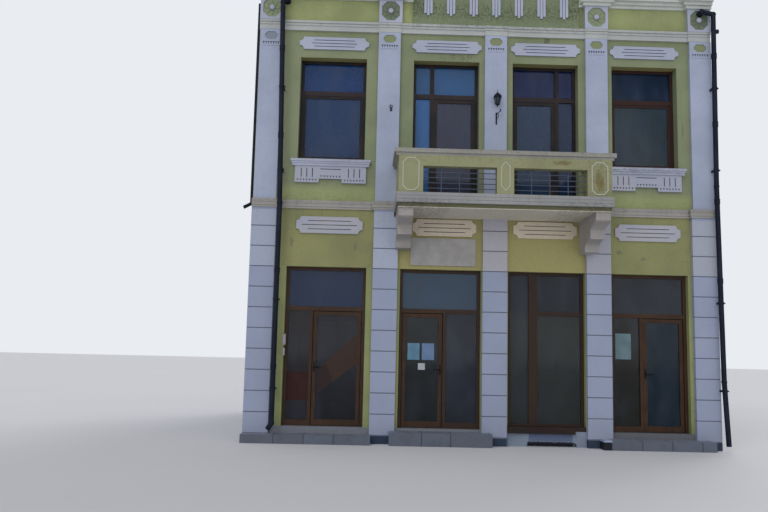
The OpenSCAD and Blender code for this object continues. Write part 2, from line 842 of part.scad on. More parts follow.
module balcony_doors() {
  color(brown) for (i = [1, 2]) {
    m = i == 1 ? -balcony_mullion : balcony_mullion;
    upper_frame(win_x[i], upper_floor_z, m);
    // door leaf in the wide light
    wide0 = i == 1 ? win_x[i] + m + upper_mullion_half - 1 : win_x[i] - window_w / 2 + frame_w - 1;
    wide1 = i == 1 ? win_x[i] + window_w / 2 - frame_w + 1 : win_x[i] + m - upper_mullion_half + 1;
    ring(wide0, wide1, upper_floor_z + frame_w - 1, crossbar_z - crossbar_h / 2 + 1, stile_w,
      win_y0 + 14, win_y1 - 6);
  }
}

module pane(x0, x1, z0, z1, y) { span([x0, y - glass_t / 2, z0], [x1, y + glass_t / 2, z1]); }

// glass between the frame members, one solid a light
module upper_glass() {
  y = (win_y0 + win_y1) / 2;
  top0 = crossbar_z + crossbar_h / 2;
  top1 = window_head_z - frame_w;
  color("#32466e") {
    for (i = [0, 3]) {
      x0 = win_x[i] - window_w / 2 + frame_w;
      x1 = win_x[i] + window_w / 2 - frame_w;
      pane(x0, x1, top0, top1, y);
      pane(x0 + sash_w - 1, x1 - sash_w + 1, window_foot_z + frame_w + sash_w - 1,
        crossbar_z - crossbar_h / 2 - sash_w + 1, y);
    }
    for (i = [1, 2]) {
      m = win_x[i] + (i == 1 ? -balcony_mullion : balcony_mullion);
      x0 = win_x[i] - window_w / 2 + frame_w;
      x1 = win_x[i] + window_w / 2 - frame_w;
      foot = upper_floor_z + frame_w;
      low1 = crossbar_z - crossbar_h / 2;
      pane(x0, m - upper_mullion_half, top0, top1, y);
      pane(m + upper_mullion_half, x1, top0, top1, y);
      if (i == 1) {
        pane(x0, m - upper_mullion_half, foot, low1, y);
        pane(m + upper_mullion_half - 1 + stile_w, x1 - stile_w + 1, foot + stile_w - 1,
          low1 - stile_w + 1, y);
      } else {
        pane(m + upper_mullion_half, x1, foot, low1, y);
        pane(x0 + stile_w - 1, m - upper_mullion_half + 1 - stile_w, foot + stile_w - 1,
          low1 - stile_w + 1, y);
      }
    }
    for (i = [0:3]) back_panes(bay_x[i], window_foot_z, back_upper_head_z);
  }
}

shop_y0 = front_y + shop_reveal;
shop_y1 = shop_y0 + frame_d;
leaf_top = transom_z - leaf_gap;
// middle of each mullion from the left side of its opening
mullion_at = [490, 856, 490, 587];
fixed_rail_h = 117;
// the fixed window has a heavy mullion
mullion_ws = [frame_w, frame_w, 160, frame_w];
shop_l = [for (i = [0:3]) shop_x[i] - shop_ws[i] / 2];
shop_r = [for (i = [0:3]) shop_x[i] + shop_ws[i] / 2];
mull_x = [for (i = [0:3]) shop_l[i] + mullion_at[i]];
// the leaf stands right of the mullion in bays 1 and 4, left of it in bay 2
leaf_right = [true, false, true, true];

module shop_frames() {
  color(brown) for (i = [0:3]) {
    m = mull_x[i];
    door = i != 2;
    difference() {
      union() {
        ring(shop_l[i], shop_r[i], floor_z, shop_head_z, frame_w, shop_y0, shop_y1);
        span([shop_l[i] + 1, shop_y0, transom_z], [shop_r[i] - 1, shop_y1, transom_z + transom_h]);
        span([m - mullion_ws[i] / 2, shop_y0, floor_z + 1],
          [m + mullion_ws[i] / 2, shop_y1, door ? transom_z + 1 : shop_head_z - 1]);
        if (!door) span([shop_l[i] + 1, shop_y0, floor_z + 1],
          [shop_r[i] - 1, shop_y1, floor_z + fixed_rail_h]);
        if (door) side_light_rail(i);
      }
      // no bottom member under a door leaf
      if (door) {
        a = leaf_right[i] ? m + mullion_ws[i] / 2 : shop_l[i] + frame_w;
        b = leaf_right[i] ? shop_r[i] - frame_w : m - mullion_ws[i] / 2;
        span([a, shop_y0 - 1, floor_z - 1], [b, shop_y1 + 1, floor_z + frame_w + 1]);
      }
      // the wide light of the fixed window has no transom
      if (!door) span([shop_l[i] + frame_w, shop_y0 - 1, transom_z - 1],
        [m - mullion_ws[i] / 2, shop_y1 + 1, transom_z + transom_h + 1]);
    }
  }
}

module side_light_rail(i) {
  a = leaf_right[i] ? shop_l[i] + 1 : mull_x[i];
  b = leaf_right[i] ? mull_x[i] : shop_r[i] - 1;
  span([a, shop_y0, floor_z + 1], [b, shop_y1, floor_z + bottom_rail_h]);
}

module shop_glass() {
  y = (shop_y0 + shop_y1) / 2;
  color("#3d4658") {
    for (i = [0, 1, 3]) {
      pane(shop_l[i] + frame_w, shop_r[i] - frame_w, transom_z + transom_h, shop_head_z - frame_w, y);
      a = leaf_right[i] ? shop_l[i] + frame_w : mull_x[i] + mullion_ws[i] / 2;
      b = leaf_right[i] ? mull_x[i] - mullion_ws[i] / 2 : shop_r[i] - frame_w;
      pane(a, b, floor_z + bottom_rail_h, transom_z, y);
    }
    pane(shop_l[2] + frame_w, mull_x[2] - mullion_ws[2] / 2, floor_z + fixed_rail_h,
      shop_head_z - frame_w, y);
    pane(mull_x[2] + mullion_ws[2] / 2, shop_r[2] - frame_w, floor_z + fixed_rail_h, transom_z, y);
    pane(mull_x[2] + mullion_ws[2] / 2, shop_r[2] - frame_w, transom_z + transom_h,
      shop_head_z - frame_w, y);
    for (i = [0, 2, 3]) back_panes(bay_x[i], back_foot_z, back_head_z);
  }
}

// Doors: the inner face of a leaf is flush with the inner face of its frame
leaf_y1 = shop_y1;
leaf_y0 = leaf_y1 - leaf_t;
leaf_z0 = floor_z + leaf_gap;
function leaf_a(i) = (leaf_right[i] ? mull_x[i] + mullion_ws[i] / 2 : shop_l[i] + frame_w) + leaf_gap;
function leaf_b(i) = (leaf_right[i] ? shop_r[i] - frame_w : mull_x[i] - mullion_ws[i] / 2) - leaf_gap;

// three knuckles a leaf, on an axis in front of the gap on the room side
knuckle_r = 8;
knuckle_h = 90;
hinge_y = leaf_y1 + knuckle_r + 5;
hinge_x = [for (i = [0:3]) leaf_right[i] ? leaf_b(i) + leaf_gap / 2 : leaf_a(i) - leaf_gap / 2];

module knuckle(i, z) {
  translate([hinge_x[i], hinge_y, z]) cylinder(h = knuckle_h, r = knuckle_r, $fn = 24);
  edge = leaf_right[i] ? leaf_b(i) : leaf_a(i);
  side = leaf_right[i] ? -1 : 1;
  span([min(edge + side * 30, edge), leaf_y1 - 1, z + 4],
    [max(edge + side * 30, edge), hinge_y, z + knuckle_h - 4]);
  span([min(edge, hinge_x[i]), hinge_y - 5, z + 4], [max(edge, hinge_x[i]), hinge_y, z + knuckle_h - 4]);
}

module leaf(i) {
  color(brown) {
    difference() {
      span([leaf_a(i), leaf_y0, leaf_z0], [leaf_b(i), leaf_y1, leaf_top]);
      span([leaf_a(i) + stile_w, leaf_y0 - 1, leaf_z0 + bottom_rail_h],
        [leaf_b(i) - stile_w, leaf_y1 + 1, leaf_top - stile_w]);
    }
    for (z = [leaf_z0 + 180, (leaf_z0 + leaf_top - knuckle_h) / 2, leaf_top - 180 - knuckle_h])
      knuckle(i, z);
  }
}

module leaf_glass(i) {
  color("#3d4658") pane(leaf_a(i) + stile_w, leaf_b(i) - stile_w, leaf_z0 + bottom_rail_h,
    leaf_top - stile_w,
    (leaf_y0 + leaf_y1) / 2);
}

// rose and lever on both faces, on the stile away from the hinge
module leaf_handle(i) {
  x = leaf_right[i] ? leaf_a(i) + stile_w / 2 : leaf_b(i) - stile_w / 2;
  s = leaf_right[i] ? 1 : -1;
  z = floor_z + handle_h;
  color("#1c1c1e") for (f = [-1, 1]) {
    y = f < 0 ? leaf_y0 : leaf_y1;
    translate([x - 15, f < 0 ? y - 10 : y, z - 90]) cube([30, 10, 180]);
    translate([x, f < 0 ? y - 45 : y + 9, z]) rotate([-90, 0, 0]) cylinder(h = 36, d = 20, $fn = 24);
    translate([x - s * 10, f < 0 ? y - 45 : y + 45, z]) rotate([0, s * 90, 0])
      cylinder(h = 125, d = 20, $fn = 24);
  }
}

module door_1_leaf() { leaf(0); }
module door_1_glass() { leaf_glass(0); }
module door_1_handle() { leaf_handle(0); }
module door_2_leaf() { leaf(1); }
module door_2_glass() { leaf_glass(1); }
module door_2_handle() { leaf_handle(1); }
module door_4_leaf() { leaf(3); }
module door_4_glass() { leaf_glass(3); }
module door_4_handle() { leaf_handle(3); }

// Outside pieces

// a step from x0 to x1 that stops against the pilasters
module step(x0, x1, h) {
  difference() {
    span([x0, front_y - step_out, 0], [x1, front_y, h]);
    for (p = pil_x) span([p - pilaster_w / 2, front_y - pilaster_out, -1],
      [p + pilaster_w / 2, front_y + 1, h + 1]);
  }
}

module entry_steps() {
  color("#bdb9b4") {
    step(-house_w / 2, pil_x[1] - pilaster_w / 2 + 25, step_h_1);
    step(pil_x[1] + 130, pil_x[2] - 70, step_h_2);
    step(pil_x[3] - 15, pil_x[4] + 15, step_h_4);
  }
}

shop_sill_t = 80;
shop_sill_drop = 45;
// the front of the sill has broken off before the right jamb
shop_sill_short = 210;

module shop_window_sill() {
  top = floor_z + shop_sill_t;
  color(brown) {
    span([shop_l[2], front_y - 60, floor_z - shop_sill_drop], [shop_r[2] - shop_sill_short, front_y, top]);
    span([shop_l[2], front_y - 1, floor_z], [shop_r[2], shop_y0, top]);
  }
}

// lantern and, below it, a bracket for a basket, on the middle pilaster
bracket_turn = 15;

module wall_lantern() {
  y = front_y - pilaster_upper_out;
  z = 6465;
  color("#17181b") translate([pil_x[2] + 9, y, z]) {
    translate([-30, -16, -60]) cube([60, 16, 120]);
    translate([0, -15, 0]) rotate([90, 0, 0]) cylinder(h = 125, d = 16, $fn = 16);
    translate([0, -140, -105]) cylinder(h = 190, d = 22, $fn = 16);
    // hood with a thin finial, and the tapering foot
    translate([0, -140, 38]) rotate_extrude($fn = 24)
      polygon([[0, 0], [86, 0], [84, 18], [58, 60], [22, 92], [8, 104], [6, 150], [0, 150]]);
    translate([0, -140, -140]) rotate_extrude($fn = 24)
      polygon([[0, 0], [12, 4], [34, 34], [70, 180], [0, 180]]);
    // plate, arm, curl at its end and ring under it
    translate([-14, -12, -455]) cube([28, 12, 240]);
    translate([0, -8, -245]) rotate([0, 0, bracket_turn]) {
      rotate([90, 0, 0]) cylinder(h = 190, d = 14, $fn = 16);
      for (ring = [[-190, 20, 22, 13], [-52, -50, 46, 12]]) translate([0, ring[0], ring[1]])
        rotate([0, 90, 0]) rotate_extrude($fn = 24) translate([ring[2], 0])
          circle(d = ring[3], $fn = 16);
    }
  }
}

// a straight length of pipe between two points in a plane parallel to the front or upright
module pipe_run(a, b) {
  d = b - a;
  l = norm(d);
  translate(a) rotate([0, acos(d[2] / l), atan2(d[1], d[0])]) cylinder(h = l, d = pipe_d, $fn = 24);
}

module pipe(points) {
  for (k = [0:len(points) - 2]) pipe_run(points[k], points[k + 1]);
  // the elbows are a little thicker than the pipe
  for (k = [1:len(points) - 2]) translate(points[k]) sphere(d = pipe_d + 14, $fn = 24);
}

// a clip round the pipe, with a bar at bar_x back to the wall face at y
module clip(x, bar_x, y, z) {
  span([bar_x - 14, pipe_y, z - 20], [bar_x + 14, y, z + 20]);
  translate([x, pipe_y, z - 20]) cylinder(h = 40, d = pipe_d + 14, $fn = 24);
}

// the pipes pass in front of the cornices over the pilasters
pipe_gap = 82;
pipe_y = front_y - pilaster_upper_out - pipe_gap - pipe_d / 2;
outlet_d = pipe_d + 20;
outlet_l = pipe_d / 2 + 4;

// corners of the left pipe: outlet under the cornice, lean to the belt course, shoe above the step
left_outlet = [pil_x[0] + 290, front_y, top_cornice_z - outlet_d / 2 - 5];
left_top = [pil_x[0] + 215, pipe_y, left_outlet[2] - pipe_d];
left_belt = [pil_x[0] + 300, pipe_y, belt_z + 60];
left_foot = [pil_x[0] + 303, pipe_y, step_h_1 + 2 * pipe_d];
left_shoe = left_foot - [50, 70, pipe_d];

// corners of the right pipe: outlet in the last rosette, elbow beside it, then slightly bent down the corner
right_outlet = [pil_x[4] + 13, front_y - block_out + rosette_deep, rosette_z + (rosette_h - outlet_d)
  / 2 - 6];
right_top = [house_w / 2 + 5, pipe_y, right_outlet[2] - pipe_d / 2];
right_waist = [house_w / 2 - 24, pipe_y, belt_z + 600];
right_knee = [house_w / 2 + 14, pipe_y, floor_z + 970];
right_foot = [house_w / 2 + 70, pipe_y, pipe_d];

side_pipe_d = 64;
side_pipe_x = -house_w / 2 - side_pipe_d / 2 - 6;

// sideways place of a leaning pipe at one level
function lean(a, b, z) = a[0] + (b[0] - a[0]) * (a[2] - z) / (a[2] - b[2]);

module outlet(a) { translate(a) rotate([90, 0, 0]) cylinder(h = outlet_l, d = outlet_d, $fn = 24); }

module downpipes() {
  upper_h = string_z - belt_z;
  lower_h = belt_z - floor_z;
  color("#16181d") {
    outlet(left_outlet);
    pipe([
      left_outlet - [0, outlet_l, 0], [left_outlet[0], pipe_y, left_outlet[2]],
      left_top, left_belt, left_foot, left_shoe
    ]);
    for (z = [belt_z + 0.2 * upper_h, belt_z + 0.66 * upper_h]) {
      x = lean(left_top, left_belt, z);
      clip(x, x + 30, front_y, z);
    }
    for (z = [floor_z + 0.17 * lower_h, floor_z + 0.57 * lower_h]) {
      x = lean(left_belt, left_foot, z);
      clip(x, x, front_y, z);
    }
    outlet(right_outlet);
    pipe([
      right_outlet - [0, outlet_l, 0], [right_outlet[0], pipe_y, right_outlet[2]],
      right_top, right_waist, right_knee, right_foot
    ]);
    // capped branch
    branch = [lean(right_top, right_waist, frieze_z - 40), pipe_y, frieze_z - 40];
    translate(branch) rotate([0, 78, 0]) cylinder(h = pipe_d, d = pipe_d - 8, $fn = 24);
    for (z = [belt_z + 0.26 * upper_h, belt_z + 0.72 * upper_h]) {
      x = lean(right_top, right_waist, z);
      clip(x, x - 30, front_y - pilaster_upper_out, z);
    }
    clip_low = floor_z + 0.2 * lower_h;
    clip_mid = floor_z + 0.6 * lower_h;
    x_low = lean(right_knee, right_foot, clip_low);
    x_mid = lean(right_waist, right_knee, clip_mid);
    clip(x_low, x_low - 40, front_y - pilaster_out, clip_low);
    clip(x_mid, x_mid - 30, front_y - pilaster_out, clip_mid);
    // thin pipe down the left side wall, with a shoe above the low roof beside the house
    side_pipe();
  }
}

module side_run(a, b) {
  d = b - a;
  l = norm(d);
  translate(a) rotate([0, acos(d[2] / l), atan2(d[1], d[0])]) cylinder(h = l, d = side_pipe_d, $fn = 20);
}

module side_pipe() {
  y = front_y + 140;
  top = [side_pipe_x, y, top_cornice_z - 60];
  bend = [side_pipe_x, y, belt_z + 100];
  shoe = [side_pipe_x - 150, y, belt_z + 20];
  side_run(top, bend);
  side_run(bend, shoe);
  translate(bend) sphere(d = side_pipe_d + 12, $fn = 20);
  for (z = [belt_z + 700, belt_z + 2300, top_cornice_z - 200])
    span([side_pipe_x, y - 14, z - 18], [-house_w / 2, y + 14, z + 18]);
}

foundation_slab();
front_piers();
spandrel_wall();
upper_front_wall();
frieze_wall();
left_party_wall();
right_party_wall();
back_wall_ground();
back_wall_upper();
upper_floor();
ceiling();
roof();
pilasters();
belt_course();
string_cornice();
rosette_blocks();
top_cornice();
attic_wall();
attic_pendants();
balcony_slab();
balcony_parapet();
balcony_coping();
balcony_rods();
corbels();
window_sills();
window_aprons();
plaques();
sign_board();
upper_window_frames();
balcony_doors();
upper_glass();
shop_frames();
shop_glass();
back_windows();
door_1_leaf();
door_1_glass();
door_1_handle();
door_2_leaf();
door_2_glass();
door_2_handle();
door_4_leaf();
door_4_glass();
door_4_handle();
entry_steps();
shop_window_sill();
wall_lantern();
downpipes();
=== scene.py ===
import math

import bpy
from mathutils import Matrix, Vector


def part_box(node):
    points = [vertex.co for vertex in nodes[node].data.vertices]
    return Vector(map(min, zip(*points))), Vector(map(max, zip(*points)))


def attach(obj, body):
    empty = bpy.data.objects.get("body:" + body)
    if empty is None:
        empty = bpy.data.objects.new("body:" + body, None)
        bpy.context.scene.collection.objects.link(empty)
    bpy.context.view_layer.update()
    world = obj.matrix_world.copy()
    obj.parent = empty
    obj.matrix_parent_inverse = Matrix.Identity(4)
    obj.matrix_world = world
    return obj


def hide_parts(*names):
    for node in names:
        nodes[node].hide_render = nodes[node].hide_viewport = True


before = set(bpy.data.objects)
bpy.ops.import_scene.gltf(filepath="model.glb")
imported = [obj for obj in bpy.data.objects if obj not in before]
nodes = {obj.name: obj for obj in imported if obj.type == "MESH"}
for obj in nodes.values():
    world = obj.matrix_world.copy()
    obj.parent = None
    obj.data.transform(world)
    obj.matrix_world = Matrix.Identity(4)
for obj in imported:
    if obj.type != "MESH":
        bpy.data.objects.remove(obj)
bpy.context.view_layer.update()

frontY = -3.8  # plane of the front's plaster
halfWidth = 4.38  # of the front


# shader maths
class Wire:  # one output socket that can be added, multiplied and compared
    def __init__(self, graph, socket):
        self.graph, self.socket = graph, socket

    def maths(self, operation, first, second=None, clamp=False):
        sockets = {0: first} if second is None else {0: first, 1: second}
        return self.graph.node("Math", {"operation": operation, "use_clamp": clamp}, sockets)

    def __add__(self, other): return self.maths("ADD", self, other)
    def __radd__(self, other): return self.maths("ADD", other, self)
    def __sub__(self, other): return self.maths("SUBTRACT", self, other)
    def __rsub__(self, other): return self.maths("SUBTRACT", other, self)
    def __mul__(self, other): return self.maths("MULTIPLY", self, other)
    def __rmul__(self, other): return self.maths("MULTIPLY", other, self)
    def __truediv__(self, other): return self.maths("DIVIDE", self, other)
    def __rtruediv__(self, other): return self.maths("DIVIDE", other, self)
    def __gt__(self, other): return self.maths("GREATER_THAN", self, other)
    def __lt__(self, other): return self.maths("LESS_THAN", self, other)
    def __mod__(self, other): return self.maths("FLOORED_MODULO", self, other)
    def __rmod__(self, other): return self.maths("FLOORED_MODULO", other, self)
    def __abs__(self): return self.maths("ABSOLUTE", self)
    def high(self, other): return self.maths("MAXIMUM", self, other)
    def whole(self): return self.maths("FLOOR", self)
    def clamped(self): return self.maths("ADD", self, 0.0, True)


def paint(code):  # hex colour to linear RGBA
    parts = [int(code[k:k + 2], 16) / 255 for k in (1, 3, 5)]
    return [c / 12.92 if c <= 0.04045 else ((c + 0.055) / 1.055) ** 2.4 for c in parts] + [1]


class Graph:  # a node tree whose nodes all come from one method
    def __init__(self, tree):
        self.tree = tree
        tree.nodes.clear()

    def node(self, kind, settings, sockets, output=0):
        made = self.tree.nodes.new("ShaderNode" + kind)
        for key, value in settings.items():
            setattr(made, key, value)
        for key, value in sockets.items():
            if isinstance(value, Wire):
                self.tree.links.new(value.socket, made.inputs[key])
            else:
                made.inputs[key].default_value = value
        return Wire(self, made.outputs[output] if made.outputs else None)


class Finish(Graph):  # a material
    def __init__(self, name, roughness=0.5, specular=0.5):
        self.material = bpy.data.materials.new(name)
        self.material.use_nodes = True
        super().__init__(self.material.node_tree)
        surface = self.node("BsdfPrincipled", {}, {"Roughness": roughness, "Specular IOR Level": specular})
        self.shader = surface.socket.node
        self.node("OutputMaterial", {}, {0: surface})
        self.place = self.node("TexCoord", {}, {}, "Object")

    def feed(self, name, value):
        self.tree.links.new(value.socket, self.shader.inputs[name])

    def axes(self):
        split = self.node("SeparateXYZ", {}, {0: self.place})
        return [Wire(self, split.socket.node.outputs[k]) for k in range(3)]

    def stretched(self, scale):
        return self.node("Mapping", {}, {0: self.place, "Scale": scale})

    def noise(self, scale, detail=3.0, rough=0.55, vector=None, distortion=0.0):
        return self.node("TexNoise", {}, {"Vector": vector or self.place, "Scale": scale, "Detail": detail,
                                          "Roughness": rough, "Distortion": distortion})

    def chance(self, column, row):  # one random value for each cell of a pattern
        cell = self.node("CombineXYZ", {}, {0: column, 1: row, 2: 0.0})
        return self.node("TexWhiteNoise", {"noise_dimensions": "2D"}, {"Vector": cell})

    def ramp(self, value, low, high, start=0.0, end=1.0):
        return self.node("MapRange", {"interpolation_type": "SMOOTHSTEP"},
                         {0: value, 1: low, 2: high, 3: start, 4: end})

    def blend(self, factor, first, second):
        return self.node("Mix", {"data_type": "RGBA"}, {0: factor, 6: first, 7: second}, 2)

    def within(self, value, low, high):
        return (value > low) * (value < high)

    def bump(self, height, strength, distance=0.01):
        self.feed("Normal", self.node("Bump", {}, {"Strength": strength, "Distance": distance, "Height": height}))


# finishes
wholeRun = (-9, 9)  # from side to side, past both walls
atticX, balconyX = (-1.43, 1.81), (-1.8, 2.2)  # sides of the attic and of the balcony
gapHalf = 0.0085  # half a sunk joint of the pilasters
dull = 0.82  # roughness of plaster


def weathered(name, look):  # painted plaster: clouds, rain streaks, mould, splash dirt, peeled spots
    f = Finish(name, roughness=dull, specular=0.3)
    x, y, z = f.axes()
    shade, dirt = paint(look["shade"]), paint(look["dirt"])
    fine = f.noise(26.0, 4.0, 0.65)
    ragged = f.noise(look.get("blotch", 13.0), 6.0, 0.75, None, 0.6)
    clouds = f.ramp(f.noise(0.9, 5.0, 0.6), 0.34, 0.7)
    base = paint(look["colour"])
    if "lower" in look:  # another tone below a height
        below = f.ramp(z, look["lower"][0] - 0.1, look["lower"][0] + 0.1, 1.0, 0.0)
        base = f.blend(below, base, paint(look["lower"][1]))
        shade = f.blend(below, shade, paint(look["lower"][2]))
    tone = f.blend(clouds * look.get("cloud", 0.8), base, shade)
    tone = f.blend(f.ramp(fine, 0.45, 0.75) * 0.35, tone, shade)
    edge = (ragged - 0.5) * look.get("ragged", 0.02)
    for lowX, highX, lowZ, highZ, code in look.get("patches", ()):  # other paint or bare render, also painted shade and painted bounce light
        test = f.within(x + edge, lowX, highX) * f.within(z + edge, lowZ, highZ) * (y < 0.0)
        tone = f.blend(test, tone, f.blend(f.ramp(fine, 0.35, 0.7) * 0.14, paint(code), dirt))
    rain = f.noise(3.0, 4.0, 0.7, f.stretched((5.5, 5.5, 0.32)))
    run = f.ramp(rain, 0.52, 0.74)
    wet = 0.0
    for top, length, strength in look.get("runs", ()):
        wet = f.ramp(z, top - length, top, 0.0, 1.0) * (z < top) * strength + wet
    if isinstance(wet, Wire):
        tone = f.blend((run * wet + wet * 0.12).clamped(), tone, dirt)
    splash = f.ramp(z + f.noise(5.0, 3.0) * 0.35, 0.2, 0.85, 1.0, 0.0)
    tone = f.blend(splash * look.get("splash", 0.45), tone, dirt)
    if "foot" in look:  # a painted plinth
        tone = f.blend(z + edge < look["foot"][0], tone, paint(look["foot"][1]))
    specks = f.ramp(f.noise(31.0, 5.0, 0.8), look.get("speckFrom", 0.5), 0.62)
    mottle = (f.ramp(ragged, 0.46, 0.66) * 0.55 + specks * 0.6).clamped()
    for lowX, highX, lowZ, highZ, strength in look.get("mould", ()):
        zone = (f.ramp(x, lowX - 0.1, lowX + 0.05) * f.ramp(x, highX - 0.05, highX + 0.1, 1.0, 0.0)
                * f.ramp(z, lowZ - 0.12, lowZ + 0.1) * f.ramp(z, highZ - 0.1, highZ + 0.1, 1.0, 0.0))
        tone = f.blend(zone * mottle * strength, tone, paint(look["mouldColour"]))
    relief = fine * 0.5 + clouds * 0.2 + mottle * 0.15
    wobble = (f.noise(21.0, 6.0, 0.8) - 0.5) * 3.4
    for spotX, spotZ, wide, high in look.get("spots", ()):
        across, along = (x - spotX) / wide, (z - spotZ) / high
        away = across * across + along * along
        hole = f.ramp(away + wobble, 0.3, 0.6, 1.0, 0.0) * (away < 1.6)
        tone = f.blend(hole * 0.7, tone, paint(look["bare"]))
        relief = relief - hole * 0.7
    for mark in look.get("marks", ()):  # painted recesses told apart by their depth in y; some are painted shade and some painted bounce light
        test = f.within(y, mark["deeper"], mark["outer"]) * f.within(z, mark["low"], mark["high"])
        test = test * f.within(x, *mark.get("across", wholeRun))
        tone = f.blend(test, tone, paint(mark["colour"]))
    if "slits" in look:  # painted shade in the gaps between upright bars that repeat
        s = look["slits"]
        across = ((x - s["centre"] + s["pitch"] / 2) % s["pitch"]) - s["pitch"] / 2
        test = (abs(abs(across) - s["offset"]) < s["half"]) * f.within(z, s["low"], s["high"])
        tone = f.blend(test * f.within(x, *s["across"]), tone, paint(s["colour"]))
    if "lines" in look:
        start, pitch, top = look["lines"]
        gap = abs(((z - start + pitch / 2) % pitch) - pitch / 2)
        tone = f.blend((gap < gapHalf) * (z < top) * (z > start - 0.05), tone, paint(look["lineColour"]))
    f.feed("Base Color", tone)
    f.feed("Roughness", f.ramp(fine, 0.3, 0.7, dull - 0.08, 0.95))
    f.bump(relief, look.get("relief", 0.5), 0.006)
    return f.material


greenLook = {"colour": "#a0a874", "shade": "#8a9166", "dirt": "#6b6b54", "mouldColour": "#464a38", "bare": "#7c7866"}
whiteLook = {"colour": "#bac0d2", "shade": "#a7adbf", "dirt": "#83807b", "mouldColour": "#4f4f4d", "bare": "#8d8884"}


def greenPlaster(name, **extra):
    return weathered(name, {**greenLook, **extra})


def whitePlaster(name, **extra):
    return weathered(name, {**whiteLook, **extra})


def joinery(name, colour, dark, gloss=0.42, bars=()):
    f = Finish(name, roughness=gloss, specular=0.25)
    x, _, z = f.axes()
    grain = f.noise(9.0, 5.0, 0.6, f.stretched((9.0, 9.0, 0.7)))
    worn = f.ramp(f.noise(2.3, 4.0, 0.6), 0.42, 0.7)
    tone = f.blend(f.ramp(grain, 0.4, 0.66), paint(dark), paint(colour))
    tone = f.blend(worn * 0.14, tone, paint("#6b4c36"))
    for lowX, highX, lowZ, highZ, code in bars:  # members that show the older red coat
        test = f.within(x, lowX, highX) * f.within(z, lowZ, highZ)
        tone = f.blend(test * 0.9, tone, f.blend(grain * 0.6, paint(code), paint(dark)))
    f.feed("Base Color", tone)
    f.feed("Roughness", f.ramp(grain, 0.3, 0.7, gloss - 0.06, gloss + 0.16))
    f.bump(grain, 0.18, 0.003)
    return f.material


def glazing(name, colour, pale, alpha, paneReflections=()):
    f = Finish(name, roughness=0.07, specular=0.22)
    x, y, z = f.axes()
    dust = f.noise(2.2, 5.0, 0.62, f.stretched((1.0, 1.0, 0.45)))
    haze = f.ramp(dust, 0.4, 0.72)
    tone = f.blend(haze * 0.6, paint(colour), paint(pale))
    for lowX, highX, lowZ, highZ, code in paneReflections:  # panes of another tint: painted reflections and painted shade of the rooms behind
        test = f.within(x, lowX, highX) * f.within(z, lowZ, highZ) * (y < 0.0)
        tone = f.blend(test, tone, f.blend(haze * 0.45, paint(code), paint(pale)))
    f.feed("Base Color", tone)
    f.feed("Roughness", f.ramp(f.noise(6.0, 4.0), 0.35, 0.75, 0.05, 0.16))
    f.feed("Alpha", f.ramp(dust, 0.35, 0.75, alpha, alpha + 0.08))
    f.bump(f.noise(1.3, 2.0), 0.05, 0.004)
    return f.material


def metalPaint(name, colour, chip, gloss=0.4, specular=0.4):
    f = Finish(name, roughness=gloss, specular=specular)
    rough = f.noise(30.0, 4.0, 0.6)
    chips = f.ramp(f.noise(14.0, 6.0, 0.7), 0.62, 0.68)
    tone = f.blend(f.ramp(f.noise(2.0, 3.0), 0.4, 0.7) * 0.4, paint(colour), paint(chip))
    f.feed("Base Color", f.blend(chips * 0.55, tone, paint(chip)))
    f.feed("Roughness", f.ramp(rough, 0.3, 0.7, gloss - 0.08, gloss + 0.2))
    f.bump(rough * 0.4 - chips * 0.5, 0.25, 0.002)
    return f.material


def boards(name, colour, dark, width):
    f = Finish(name, roughness=0.6)
    x = f.axes()[0]
    own = f.node("TexWhiteNoise", {"noise_dimensions": "1D"}, {"W": (x / width).whole()})
    grain = f.noise(7.0, 6.0, 0.6, f.stretched((14.0, 0.8, 14.0)))
    seam = abs(((x / width) % 1.0) - 0.5) > 0.48
    tone = f.blend(f.ramp(grain, 0.35, 0.7) * 0.7 + own * 0.25, paint(colour), paint(dark))
    f.feed("Base Color", f.blend(seam, tone, paint("#3b2c1e")))
    f.bump(grain * 0.5 - seam, 0.4, 0.004)
    return f.material


def roofClay(name, width, length):
    f = Finish(name, roughness=0.8)
    x, y, _ = f.axes()
    course = (abs(y) / length).whole() + (y > 0.0) * 60.0  # the back slope has numbers of its own
    own = f.chance((x / width).whole(), course)
    tone = f.blend(own * 0.75, paint("#8f4d38"), paint("#6f3c2e"))
    tone = f.blend(f.ramp(f.noise(3.0, 5.0, 0.65), 0.5, 0.72) * 0.55, tone, paint("#5c544a"))
    lichen = f.ramp(f.noise(22.0, 5.0, 0.7), 0.62, 0.7)
    f.feed("Base Color", f.blend(lichen * 0.5, tone, paint("#8e8c74")))
    f.feed("Roughness", f.ramp(own, 0.0, 1.0, 0.7, 0.92))
    f.bump(f.noise(40.0, 4.0, 0.7), 0.35, 0.004)
    return f.material


